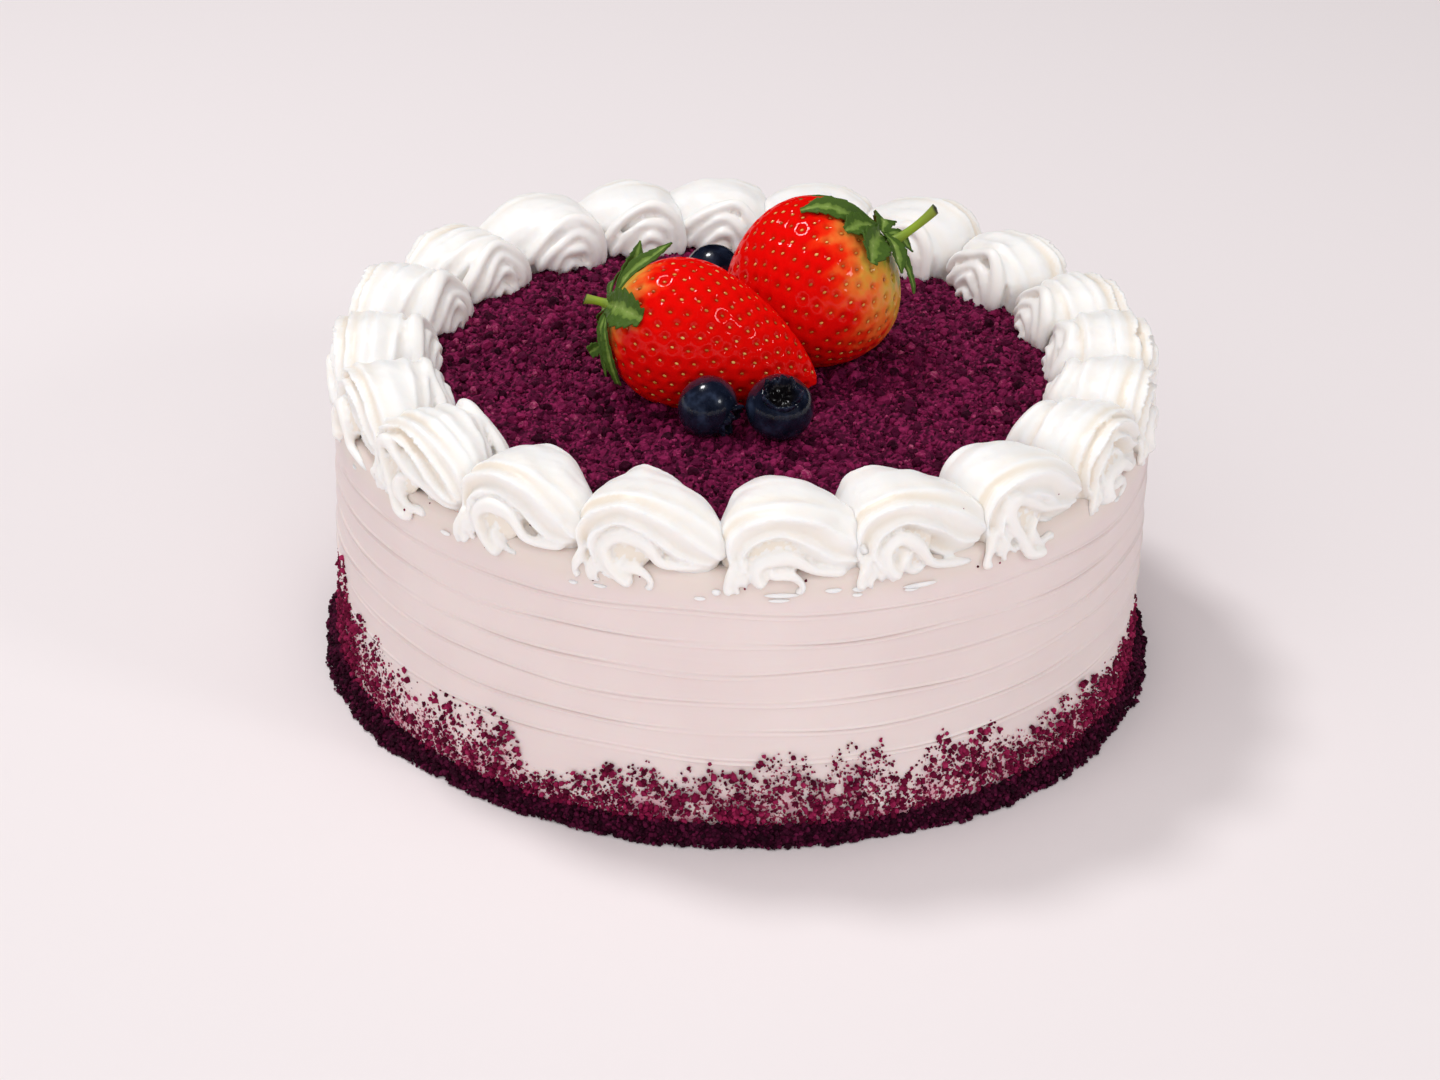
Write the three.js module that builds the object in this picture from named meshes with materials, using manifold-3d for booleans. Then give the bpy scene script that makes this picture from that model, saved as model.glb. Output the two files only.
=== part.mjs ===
// A 20 cm round layer cake covered with whipped cream. Its wall is combed with
// level lines, its foot is dressed with velvet crumb, and a piped shell border
// rings a bed of the same crumb that carries two strawberries and three
// blueberries. Millimetres, +Z up, origin at the middle of the underside.

import * as THREE from 'three';
import { mergeVertices } from 'three/addons/utils/BufferGeometryUtils.js';
import Module from 'manifold-3d';

const wasm = await Module();
wasm.setup();

// Driving dimensions of the cake
const CAKE_RADIUS = 100;
const CREAM_TOP = 69;
const CRUMB_LEVEL = 72;
const CRUMB_MOUND = 0.9;
const CRUMB_RADIUS = 76.5;
const EDGE_ROUND = 2.5;
const FOOT_ROUND = 1;
const CLEARANCE = 0.3;

// Comb lines drawn round the wall
const COMB_COUNT = 6;
const COMB_LOWEST = 21.6;
const COMB_PITCH = 7.4;
const COMB_HEIGHT = 0.55;
const COMB_HALF_WIDTH = 0.8;
const COMB_WANDER = [
  { waves: 3, rise: 0.5, lag: 0.11 },
  { waves: 7, rise: 0.3, lag: -0.2 },
];
const WALL_SIDES = 38;

// Piped shell border: each shell starts at a fat head and tails off anticlockwise
const BORDER_RADIUS = 87.8;
const BORDER_CREST = 86;
const BORDER_LEAN = 3.4;
const SHELL_COUNT = 20;
const FIRST_HEAD_ANGLE = -123.5;
const SHELL_SHIFT = [
  0, 0.5, 2, 1.2, 1.6, 3.4, 2.4, 1.2, -0.8, 0.8, 1.2, 1.5, 0.8, -2.4, -4, -3.4, -2.8, -1.4, -1, -0.8,
];
const CURL_HEIGHT = 67.6;
const CURL_DEPTH = 1;
const HEAD_REACH = 13.2;
const HEAD_DRAG = 0.8;
const HEAD_DROOP = 3.5;
const TAIL_REACH = 22;
const TAIL_DRAG = 13;
const SHELL_HALF_WIDTH = 12.9;
const WIDEST_TURN = 118;
const HEAD_NARROWING = 0.06;
const TAIL_NARROWING = 0.6;
const OUTER_HOLD = 0.45;
const SKIRT = 0.45;
const RIDGE_COUNT = 7;
const RIDGE_DEPTH = 0.17;
const SWEEP_START = 224;
const SWEEP_END = -12;
const SWEEP_STEPS = 7;
const SWEEP_GROWTH = 4;
const HEIGHT_SPREAD = 0.04;

// Velvet crumb: the bed on top, the band round the foot, and grains on the wall
const BED_SIDES = 36;
const BED_RINGS = 5;
const BED_BUMP = 0.45;
const BED_RAGGED = 1.3;
const BED_LIP = 0.8;
const BAND_SIDES = 50;
const BAND_REACH = 5.3;
const BAND_HEIGHT = 3.4;
const BAND_PROFILE = [[0, 0], [0, 1], [0.45, 0.86], [0.8, 0.5], [1, 0]];
const GRAIN_SIZE = 2.8;
const GRAIN_COUNT = 48;
const GRAIN_LOWEST = 7;
const PAT_FLOOR = 12;
const PAT_FALL = 0.9;
const PATS = [
  { angle: -163, peak: 27 },
  { angle: -145, peak: 23 },
  { angle: -124, peak: 24 },
  { angle: -101, peak: 20 },
  { angle: -83, peak: 27 },
  { angle: -72, peak: 25 },
  { angle: -56, peak: 23 },
  { angle: -33, peak: 18 },
  { angle: -10, peak: 26 },
  { angle: 18, peak: 22 },
  { angle: 41, peak: 26 },
  { angle: 67, peak: 21 },
  { angle: 92, peak: 24 },
  { angle: 120, peak: 20 },
  { angle: 146, peak: 26 },
  { angle: 172, peak: 22 },
];

// Fruit: calyx is where the stalk joins, tip is the far end of the berry
const STRAWBERRIES = [
  {
    name: 'strawberry_front',
    calyx: [-32, -13, 95],
    tip: [17.6, -16.6, 77.8],
    radius: 18.6,
    flatness: 0.86,
    shoulder: 0.36,
    taper: 1.45,
    stalk: { length: 7, radius: 1.2, lean: [0, -0.15] },
    leaves: [
      { turn: 72, fall: 3, curl: 7, width: 3.2 },
      { turn: 60, fall: 9.5, curl: 1.2, width: 3.4 },
      { turn: 160, fall: 9, curl: 0.4, width: 4.6 },
      { turn: -114, fall: 8, curl: 0.6, width: 3.2 },
      { turn: -130, fall: -2, curl: 10, width: 2.6 },
      { turn: 8, fall: 8, curl: 1, width: 3.6 },
      { turn: -48, fall: 6, curl: 2, width: 3.4 },
    ],
  },
  {
    name: 'strawberry_back',
    calyx: [34.4, 12, 102.3],
    tip: [-4.6, 9.6, 78.6],
    radius: 22,
    flatness: 0.93,
    shoulder: 0.42,
    taper: 1.9,
    stalk: { length: 15, radius: 1.2, lean: [0, 0.16] },
    leaves: [
      { turn: 93, fall: 13, curl: 0.3, width: 3.4 },
      { turn: 62, fall: 8.5, curl: 0.4, width: 4.4 },
      { turn: 24, fall: 7, curl: 0.4, width: 4.8 },
      { turn: -18, fall: 6, curl: 0.8, width: 4 },
      { turn: -60, fall: 6.5, curl: 1.6, width: 3.4 },
      { turn: 218, fall: 8, curl: 1.2, width: 4 },
      { turn: 152, fall: 9, curl: 1, width: 4 },
    ],
  },
];
const BERRY_SIDES = 16;
const BERRY_RINGS = 11;
const SEED_DIMPLE = 0.35;
const TIP_BLUNTNESS = 0.72;
const SHOULDER_FULLNESS = 2.2;
const LEAF_STEPS = 4;
const LEAF_THICKNESS = 0.8;
const LEAF_LIFT = 1;
const LEAF_WAVE = 0.45;
const STALK_SIDES = 5;

const BLUEBERRIES = [
  { name: 'blueberry_right', place: [8.6, -36.2], radius: 8.1, crown: [0.1, -0.45, 0.89] },
  { name: 'blueberry_left', place: [-8.4, -35.6], radius: 7.5, crown: [0.86, -0.35, -0.36] },
  { name: 'blueberry_back', place: [-8.3, 43.8], radius: 7.6, crown: [-0.15, 0.25, 0.96] },
];
const BLUEBERRY_SIDES = 13;
const BLUEBERRY_FLATNESS = 0.93;
const BLUEBERRY_SINK = 0.05;
const CROWN_PROFILE = [[0.36, 0.98], [0.24, 0.94], [0.15, 0.78]];
const CROWN_LOBES = 5;
const CROWN_DEPTH = 0.1;

const rad = THREE.MathUtils.degToRad;
const lerp = THREE.MathUtils.lerp;

// Seeded draws, so that the unevenness is the same each time
function seededDraws(seed) {
  let state = seed;
  return (low, high) => {
    state = (state * 1664525 + 1013904223) % 4294967296;
    return lerp(low, high, state / 4294967296);
  };
}

// Closed surface through rings of points, with a fan over the first and last ring
function skin(rings) {
  const around = rings[0].length;
  const points = rings.flat();
  const index = [];
  for (let i = 0; i < rings.length - 1; i += 1) {
    for (let j = 0; j < around; j += 1) {
      const a = i * around + j;
      const b = i * around + ((j + 1) % around);
      index.push(a, b, b + around, a, b + around, a + around);
    }
  }
  for (const [ring, inward] of [[0, true], [rings.length - 1, false]]) {
    const middle = rings[ring].reduce((sum, p) => sum.add(p), new THREE.Vector3());
    points.push(middle.divideScalar(around));
    for (let j = 0; j < around; j += 1) {
      const a = ring * around + j;
      const b = ring * around + ((j + 1) % around);
      index.push(points.length - 1, inward ? b : a, inward ? a : b);
    }
  }
  const geometry = new THREE.BufferGeometry().setFromPoints(points);
  geometry.setIndex(index);
  return geometry;
}

// Merged closed mesh as a solid, facing out
function solidOf(geometry) {
  const bare = geometry.clone();
  bare.deleteAttribute('normal');
  bare.deleteAttribute('uv');
  const merged = mergeVertices(bare, 1e-4);
  const corners = merged.index.array;
  const kept = [];
  for (let i = 0; i < corners.length; i += 3) {
    const [a, b, c] = corners.slice(i, i + 3);
    if (a !== b && b !== c && c !== a) {
      kept.push(a, b, c);
    }
  }
  const mesh = { numProp: 3, vertProperties: merged.attributes.position.array };
  const solid = new wasm.Manifold(new wasm.Mesh({ ...mesh, triVerts: new Uint32Array(kept) }));
  if (solid.volume() > 0) {
    return solid;
  }
  kept.reverse();
  return new wasm.Manifold(new wasm.Mesh({ ...mesh, triVerts: new Uint32Array(kept) }));
}

// Largest connected piece of a cut solid, as a geometry
function geometryOf(solid) {
  const pieces = solid.decompose();
  pieces.sort((a, b) => b.volume() - a.volume());
  const mesh = pieces[0].getMesh();
  const geometry = new THREE.BufferGeometry();
  geometry.setAttribute('position', new THREE.BufferAttribute(mesh.vertProperties, 3));
  geometry.setIndex(new THREE.BufferAttribute(mesh.triVerts, 1));
  geometry.computeVertexNormals();
  return geometry;
}

function ringPoint(angle, radius, height) {
  return new THREE.Vector3(radius * Math.cos(angle), radius * Math.sin(angle), height);
}

const cake = new THREE.Group();
const creamMaterial = new THREE.MeshStandardMaterial({ color: 0xf7f3ec, roughness: 0.45, metalness: 0 });
const wallMaterial = new THREE.MeshStandardMaterial({ color: 0xefe2e0, roughness: 0.42, metalness: 0 });
const crumbMaterial = new THREE.MeshStandardMaterial({ color: 0x4b0a32, roughness: 0.95, metalness: 0 });
const redMaterial = new THREE.MeshStandardMaterial({ color: 0xd8190c, roughness: 0.25, metalness: 0 });
const leafMaterial = new THREE.MeshStandardMaterial({ color: 0x46702f, roughness: 0.6, metalness: 0 });
const blueMaterial = new THREE.MeshStandardMaterial({ color: 0x1d2336, roughness: 0.35, metalness: 0 });

function addPiece(name, geometry, material, parent = cake) {
  const mesh = new THREE.Mesh(geometry, material);
  mesh.name = name;
  parent.add(mesh);
  return mesh;
}

// Cream-covered body, turned from one outline with a rounded top edge
function bodyOutline(grow, combed) {
  const radius = CAKE_RADIUS + grow;
  const top = CREAM_TOP + grow;
  const outline = [[0, 0], [radius - FOOT_ROUND, 0], [radius, FOOT_ROUND]];
  for (let i = 0; combed && i < COMB_COUNT; i += 1) {
    const z = COMB_LOWEST + i * COMB_PITCH;
    outline.push([radius, z - COMB_HALF_WIDTH], [radius + COMB_HEIGHT, z], [radius, z + COMB_HALF_WIDTH]);
  }
  for (const turn of [0, 30, 60, 90]) {
    const r = radius - EDGE_ROUND * (1 - Math.cos(rad(turn)));
    outline.push([r, top - EDGE_ROUND * (1 - Math.sin(rad(turn)))]);
  }
  outline.push([0, top]);
  return outline.map(([r, z]) => new THREE.Vector2(r, z));
}

function turned(outline, sides) {
  return new THREE.LatheGeometry(outline, sides).rotateX(Math.PI / 2);
}

// A comb held by hand wanders up and down a little as the cake turns under it
function combWander(geometry) {
  const place = geometry.attributes.position;
  for (let i = 0; i < place.count; i += 1) {
    const z = place.getZ(i);
    const angle = Math.atan2(place.getY(i), place.getX(i));
    const inBand = z > COMB_LOWEST - 2 && z < COMB_LOWEST + COMB_COUNT * COMB_PITCH;
    for (const { waves, rise, lag } of inBand ? COMB_WANDER : []) {
      place.setZ(i, place.getZ(i) + rise * Math.sin(waves * angle + lag * z));
    }
  }
  return geometry;
}

// Height that the pressed-on crumb reaches at an angle round the wall
function patHeight(degrees) {
  let height = PAT_FLOOR;
  for (const pat of PATS) {
    const away = Math.abs(((degrees - pat.angle + 540) % 360) - 180);
    height = Math.max(height, pat.peak - away * PAT_FALL);
  }
  return height;
}

function wallGrains() {
  const draw = seededDraws(7);
  const grains = [];
  for (let i = 0; i < GRAIN_COUNT; i += 1) {
    const degrees = (360 * (i + draw(-0.3, 0.3))) / GRAIN_COUNT;
    const share = draw(0, 1) ** 1.3;
    const height = lerp(GRAIN_LOWEST, patHeight(degrees), share);
    const size = GRAIN_SIZE * lerp(1.15, 0.85, share);
    const grain = new THREE.OctahedronGeometry(size / 2, 0);
    grain.scale(draw(0.8, 1.1), draw(0.8, 1.1), draw(0.8, 1.1));
    grain.rotateX(draw(0, 3)).rotateY(draw(0, 3));
    const place = ringPoint(rad(degrees), CAKE_RADIUS, height);
    grains.push(solidOf(grain.translate(place.x, place.y, place.z)));
  }
  return grains;
}

function buildBody() {
  let body = solidOf(combWander(turned(bodyOutline(0, true), WALL_SIDES)));
  for (const grain of wallGrains()) {
    body = body.add(grain);
  }
  addPiece('cake_body', geometryOf(body), wallMaterial);
}

// Half the width of a shell at a turn of its sweep, widest just behind the crest
function shellHalfWidth(turn, shell) {
  const behind = Math.max(0, turn - WIDEST_TURN) / (SWEEP_START - WIDEST_TURN);
  const ahead = Math.max(0, WIDEST_TURN - turn) / (WIDEST_TURN - SWEEP_END);
  const narrowing = HEAD_NARROWING * behind ** 2 + TAIL_NARROWING * ahead ** 1.3;
  return SHELL_HALF_WIDTH * shell.girth * (1 - narrowing);
}

// One shell: a ridged section swept like a fan about the curl under its head.
// Spokes run from the curl to the crest line and the section spans each spoke.
function shellRing(turn, shell, grow) {
  const across = Math.cos(rad(turn));
  const upward = Math.sin(rad(turn));
  const height = (BORDER_CREST - CURL_HEIGHT) * shell.height + grow;
  const reach = (turn > 90 ? HEAD_REACH : TAIL_REACH) * shell.girth + grow;
  const crest = [reach * across, CURL_HEIGHT + (upward > 0 ? height : HEAD_DROOP) * upward];
  const drag = turn > 90 ? HEAD_DRAG : TAIL_DRAG;
  const foot = [drag * across, CURL_HEIGHT - CURL_DEPTH];
  const half = shellHalfWidth(turn, shell) + grow;
  const narrowing = SHELL_HALF_WIDTH * shell.girth + grow - half;
  const middle = BORDER_RADIUS + shell.offset + OUTER_HOLD * narrowing;
  const ring = [];
  for (let j = 0; j < 2 * RIDGE_COUNT; j += 1) {
    const around = (Math.PI * (j + 0.5)) / RIDGE_COUNT;
    const bulge = j % 2 === 0 ? 1 : 1 - (grow > 0 ? 0 : RIDGE_DEPTH);
    const share = 0.5 + 0.5 * bulge * Math.sin(around);
    const along = lerp(foot[0], crest[0], share);
    const flare = Math.sin(around) < 0 ? SKIRT : 1;
    const side = Math.sign(Math.cos(around)) * Math.abs(Math.cos(around)) ** flare;
    const radius = middle + BORDER_LEAN * share + half * bulge * side;
    const angle = rad(shell.angle) + along / BORDER_RADIUS;
    ring.push(ringPoint(angle, radius, lerp(foot[1], crest[1], share)));
  }
  return ring;
}

function shellSolid(shell, grow) {
  const rings = [];
  const spread = grow * SWEEP_GROWTH;
  for (let i = 0; i <= SWEEP_STEPS; i += 1) {
    const turn = lerp(SWEEP_START + spread, SWEEP_END - spread, i / SWEEP_STEPS);
    rings.push(shellRing(turn, shell, grow));
  }
  return solidOf(skin(rings));
}

function buildShells() {
  const draw = seededDraws(11);
  const shells = [];
  for (let i = 0; i < SHELL_COUNT; i += 1) {
    const angle = FIRST_HEAD_ANGLE + (360 / SHELL_COUNT) * i + SHELL_SHIFT[i];
    const height = 1 + draw(-HEIGHT_SPREAD, HEIGHT_SPREAD);
    shells.push({ angle, height, girth: draw(0.95, 1.04), offset: draw(-0.5, 0.5) });
  }
  const bodyRoom = solidOf(turned(bodyOutline(CLEARANCE, false), WALL_SIDES));
  const bedHeight = CRUMB_LEVEL + BED_BUMP + CLEARANCE;
  const bedRadius = CRUMB_RADIUS + BED_RAGGED + CLEARANCE;
  const bed = new THREE.CylinderGeometry(bedRadius, bedRadius, bedHeight, WALL_SIDES);
  const bedRoom = solidOf(bed.rotateX(Math.PI / 2).translate(0, 0, bedHeight / 2));
  const room = bodyRoom.add(bedRoom);
  shells.forEach((shell, i) => {
    const next = shells[(i + 1) % SHELL_COUNT];
    const cut = shellSolid(shell, 0).subtract(room).subtract(shellSolid(next, CLEARANCE));
    addPiece(`swirl_${String(i + 1).padStart(2, '0')}`, geometryOf(cut), creamMaterial);
  });
}

// Crumb bed on top: a thin disc with a granular face and a ragged edge
function bedSolid() {
  const draw = seededDraws(23);
  const rings = [];
  const base = CREAM_TOP + CLEARANCE;
  const edge = [];
  for (let j = 0; j < BED_SIDES; j += 1) {
    edge.push(CRUMB_RADIUS + draw(-BED_RAGGED, BED_RAGGED));
  }
  rings.push(edge.map((r, j) => ringPoint((2 * Math.PI * j) / BED_SIDES, r, base)));
  for (let i = 0; i < BED_RINGS; i += 1) {
    const share = 1 - i / BED_RINGS;
    const twist = i % 2 === 0 ? 0 : 0.5;
    const ring = edge.map((r, j) => {
      const mound = CRUMB_MOUND * (1 - share ** 2) - (i === 0 ? BED_LIP : 0);
      const height = CRUMB_LEVEL + mound + draw(-BED_BUMP, BED_BUMP);
      return ringPoint((2 * Math.PI * (j + twist)) / BED_SIDES, r * share, height);
    });
    rings.push(ring);
  }
  return solidOf(skin(rings));
}

// Crumb that has fallen and packed against the foot of the wall
function buildBand() {
  const draw = seededDraws(31);
  const inner = CAKE_RADIUS + CLEARANCE * 1.5;
  const rings = [];
  for (let i = 0; i < BAND_SIDES; i += 1) {
    const angle = (2 * Math.PI * i) / BAND_SIDES;
    const reach = BAND_REACH * draw(0.82, 1.1);
    const height = BAND_HEIGHT * draw(0.8, 1.25);
    rings.push(BAND_PROFILE.map(([r, z]) => ringPoint(angle, inner + r * reach, z * height)));
  }
  const index = [];
  const n = BAND_PROFILE.length;
  for (let i = 0; i < BAND_SIDES; i += 1) {
    for (let j = 0; j < n; j += 1) {
      const a = i * n + j;
      const b = i * n + ((j + 1) % n);
      const c = ((i + 1) % BAND_SIDES) * n + ((j + 1) % n);
      const d = ((i + 1) % BAND_SIDES) * n + j;
      index.push(a, b, c, a, c, d);
    }
  }
  const geometry = new THREE.BufferGeometry().setFromPoints(rings.flat());
  geometry.setIndex(index);
  addPiece('foot_crumbs', geometryOf(solidOf(geometry)), crumbMaterial);
}

// Strawberry outline: round shoulder, then a taper to a blunt tip
function berryRadius(share, berry) {
  if (share < berry.shoulder) {
    return berry.radius * Math.sqrt(1 - (1 - share / berry.shoulder) ** SHOULDER_FULLNESS);
  }
  const beyond = (share - berry.shoulder) / (1 - berry.shoulder);
  return berry.radius * (1 - beyond ** berry.taper) ** TIP_BLUNTNESS;
}

function berryLump(angle, share) {
  return 1 + 0.025 * Math.sin(2 * angle + 1) + 0.015 * Math.sin(3 * angle + 4 * share);
}

function berryGeometry(berry, length, grow) {
  const rings = [];
  for (let i = 0; i <= BERRY_RINGS; i += 1) {
    const share = lerp(0.012, 0.988, 0.5 - 0.5 * Math.cos((Math.PI * i) / BERRY_RINGS));
    const ring = [];
    for (let j = 0; j < BERRY_SIDES; j += 1) {
      const angle = (2 * Math.PI * j) / BERRY_SIDES;
      const dimple = (i + j) % 2 === 0 && grow === 0 ? SEED_DIMPLE : 0;
      const radius = berryRadius(share, berry) * berryLump(angle, share) - dimple + grow;
      ring.push(ringPoint(angle, radius, length * share));
    }
    rings.push(ring);
  }
  return skin(rings).scale(berry.flatness, 1, 1);
}

// Thin wavy leaf that drapes from the calyx over the shoulder, its tip curling out
function leafGeometry(leaf, berry, length) {
  const rings = [];
  for (let i = 0; i <= LEAF_STEPS; i += 1) {
    const share = lerp(0.04, 1, i / LEAF_STEPS);
    const fall = leaf.fall * share ** 2;
    const down = Math.max(fall, 0) / length;
    const surface = berryRadius(down, berry) * berryLump(rad(leaf.turn), down);
    const radius = Math.max(surface, 0.8) + leaf.curl * share ** 2;
    const slope = Math.min(surface / berry.radius, 0.98);
    const outward = new THREE.Vector2(slope, -Math.sqrt(1 - slope ** 2));
    const width = leaf.width * Math.sin(Math.PI * lerp(0.12, 0.97, i / LEAF_STEPS)) ** 0.8 + 0.15;
    const wave = LEAF_WAVE * Math.sin(share * 9 + leaf.turn);
    const corner = (turn, lift) => {
      const reach = radius + outward.x * (LEAF_LIFT + lift);
      return ringPoint(turn, reach, fall + outward.y * (LEAF_LIFT + lift));
    };
    const wrap = width / (radius + LEAF_LIFT);
    const half = LEAF_THICKNESS / 2;
    rings.push([corner(0, half), corner(wrap, wave), corner(0, -half), corner(-wrap, -wave)]);
  }
  return skin(rings).rotateZ(rad(leaf.turn)).scale(berry.flatness, 1, 1);
}

function stalkGeometry(stalk) {
  const rings = [];
  for (let i = 0; i <= 4; i += 1) {
    const share = i / 4;
    const drift = stalk.length * share ** 2;
    const middle = new THREE.Vector3(stalk.lean[0], stalk.lean[1], 0).multiplyScalar(drift);
    const radius = stalk.radius * (1.25 - 0.5 * Math.sin(Math.PI * share));
    const ring = [];
    for (let j = 0; j < STALK_SIDES; j += 1) {
      const point = ringPoint((2 * Math.PI * j) / STALK_SIDES, radius, -stalk.length * share);
      ring.push(point.add(middle));
    }
    rings.push(ring);
  }
  return skin(rings);
}

// Each strawberry lies in a group whose Z runs from calyx to tip, with Y uppermost
function buildStrawberry(berry) {
  const calyx = new THREE.Vector3(...berry.calyx);
  const along = new THREE.Vector3(...berry.tip).sub(calyx);
  const length = along.length();
  along.normalize();
  const up = new THREE.Vector3(0, 0, 1).addScaledVector(along, -along.z).normalize();
  const side = new THREE.Vector3().crossVectors(up, along);
  const frame = new THREE.Matrix4().makeBasis(side, up, along).setPosition(calyx);
  const body = addPiece(berry.name, berryGeometry(berry, length, 0), redMaterial);
  body.applyMatrix4(frame);
  let leaves = solidOf(stalkGeometry(berry.stalk));
  for (const leaf of berry.leaves) {
    leaves = leaves.add(solidOf(leafGeometry(leaf, berry, length)));
  }
  const cap = addPiece(`${berry.name}_cap`, geometryOf(leaves), leafMaterial);
  cap.applyMatrix4(frame);
  return solidOf(berryGeometry(berry, length, CLEARANCE * 2).applyMatrix4(frame));
}

// Blueberry outline: a slightly flattened ball with a starry crown round a dip
function buildBlueberry(berry) {
  const outline = [];
  for (const turn of [-78, -48, -18, 12, 40, 62]) {
    const a = rad(turn);
    outline.push([Math.cos(a), Math.sin(a) * BLUEBERRY_FLATNESS]);
  }
  const crownStart = outline.push(...CROWN_PROFILE) - CROWN_PROFILE.length;
  const rings = outline.map(([r, z], i) => {
    const ring = [];
    for (let j = 0; j < BLUEBERRY_SIDES; j += 1) {
      const angle = (2 * Math.PI * j) / BLUEBERRY_SIDES;
      const lobed = i === crownStart || i === crownStart + 1;
      const lobe = lobed ? CROWN_DEPTH * Math.cos(CROWN_LOBES * angle) : 0;
      ring.push(ringPoint(angle, berry.radius * (r + lobe), berry.radius * z));
    }
    return ring;
  });
  const mesh = addPiece(berry.name, skin(rings), blueMaterial);
  const crown = new THREE.Vector3(...berry.crown).normalize();
  mesh.quaternion.setFromUnitVectors(new THREE.Vector3(0, 0, 1), crown);
  const height = CRUMB_LEVEL + CRUMB_MOUND / 2 + berry.radius * (1 - BLUEBERRY_SINK);
  mesh.position.set(berry.place[0], berry.place[1], height);
  const room = new THREE.SphereGeometry(berry.radius + CLEARANCE * 2, BLUEBERRY_SIDES, 10);
  return solidOf(room.translate(...mesh.position));
}

buildBody();
buildShells();
buildBand();
let bed = bedSolid();
for (const berry of STRAWBERRIES) {
  bed = bed.subtract(buildStrawberry(berry));
}
for (const berry of BLUEBERRIES) {
  bed = bed.subtract(buildBlueberry(berry));
}
addPiece('crumb_top', geometryOf(bed), crumbMaterial);

export default cake;
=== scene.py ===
import math
import bpy
import numpy as np
from mathutils import Matrix, Vector, kdtree


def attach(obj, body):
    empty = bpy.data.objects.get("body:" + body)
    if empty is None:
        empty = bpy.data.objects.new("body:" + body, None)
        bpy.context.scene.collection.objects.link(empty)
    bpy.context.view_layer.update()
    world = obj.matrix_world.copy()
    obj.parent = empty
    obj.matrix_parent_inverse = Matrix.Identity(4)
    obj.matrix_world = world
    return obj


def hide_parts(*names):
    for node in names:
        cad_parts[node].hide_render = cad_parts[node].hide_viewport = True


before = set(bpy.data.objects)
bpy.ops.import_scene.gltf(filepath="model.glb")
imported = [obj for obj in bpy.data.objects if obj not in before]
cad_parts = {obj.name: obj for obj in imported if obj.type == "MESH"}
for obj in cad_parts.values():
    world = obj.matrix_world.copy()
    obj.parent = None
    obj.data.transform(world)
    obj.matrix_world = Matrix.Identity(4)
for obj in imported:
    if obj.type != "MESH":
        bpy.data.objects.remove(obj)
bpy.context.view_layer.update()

# Camera, floor and light: the cake is seen from the front and a little above, on
# a plain pale floor. Soft light comes from all round and from a wide lamp in
# front; two small lamps, overhead and at the right, glint on the fruit.
looking_down = math.radians(27.47)
leaning = math.radians(1.63)
aim = Vector((-0.0046, 0, 0.0256))
lens_distance = 0.9
floor_span = 24
just_under_foot = -0.0002
toward_lens = Vector((0, -math.cos(looking_down), math.sin(looking_down)))
level_right = Vector((1, 0, 0))
level_up = Vector((0, math.sin(looking_down), math.cos(looking_down)))
lens_right = math.cos(leaning) * level_right + math.sin(leaning) * level_up
lens_up = math.cos(leaning) * level_up - math.sin(leaning) * level_right
lens_turn = Matrix((lens_right, lens_up, toward_lens)).transposed()
bpy.ops.object.camera_add(location=aim + lens_distance * toward_lens, rotation=lens_turn.to_euler())
camera = bpy.context.object
camera.data.sensor_width = 36
camera.data.lens = 89.22
bpy.context.scene.camera = camera
bpy.context.scene.view_settings.view_transform = "Standard"

bpy.ops.mesh.primitive_plane_add(size=floor_span, location=(0, 0, just_under_foot))
floor = bpy.context.object
floor.name = "floor"
floor_paint = bpy.data.materials.new("floor_paint")
floor_paint.use_nodes = True
floor_shader = floor_paint.node_tree.nodes["Principled BSDF"]
floor_shader.inputs["Base Color"].default_value = (0.86, 0.8, 0.81, 1)
floor_shader.inputs["Roughness"].default_value = 0.7
floor.data.materials.append(floor_paint)

studio = bpy.data.worlds.new("studio")
studio.use_nodes = True
studio.node_tree.nodes["Background"].inputs["Color"].default_value = (1, 0.975, 0.98, 1)
studio.node_tree.nodes["Background"].inputs["Strength"].default_value = 0.5
bpy.context.scene.world = studio
studio.cycles_visibility.glossy = False


def softbox(name, place, target, size, watts):
    bpy.ops.object.light_add(type="AREA", location=place)
    lamp = bpy.context.object
    lamp.name = name
    lamp.data.shape = "DISK"
    lamp.data.size = size
    lamp.data.energy = watts
    lamp.rotation_euler = (Vector(target) - Vector(place)).to_track_quat("-Z", "Y").to_euler()
    return lamp


softbox("overhead", (-0.4, 0.3, 1.2), (0, 0, 0.08), 0.26, 5.8)
softbox("right_light", (1.1, -0.7, 0.8), (0, 0, 0.05), 0.3, 2.8)
front_fill = softbox("front_fill", (-0.6, -1.9, 1), (0, 0, 0.05), 4.6, 42)
front_fill.visible_glossy = False


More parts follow.
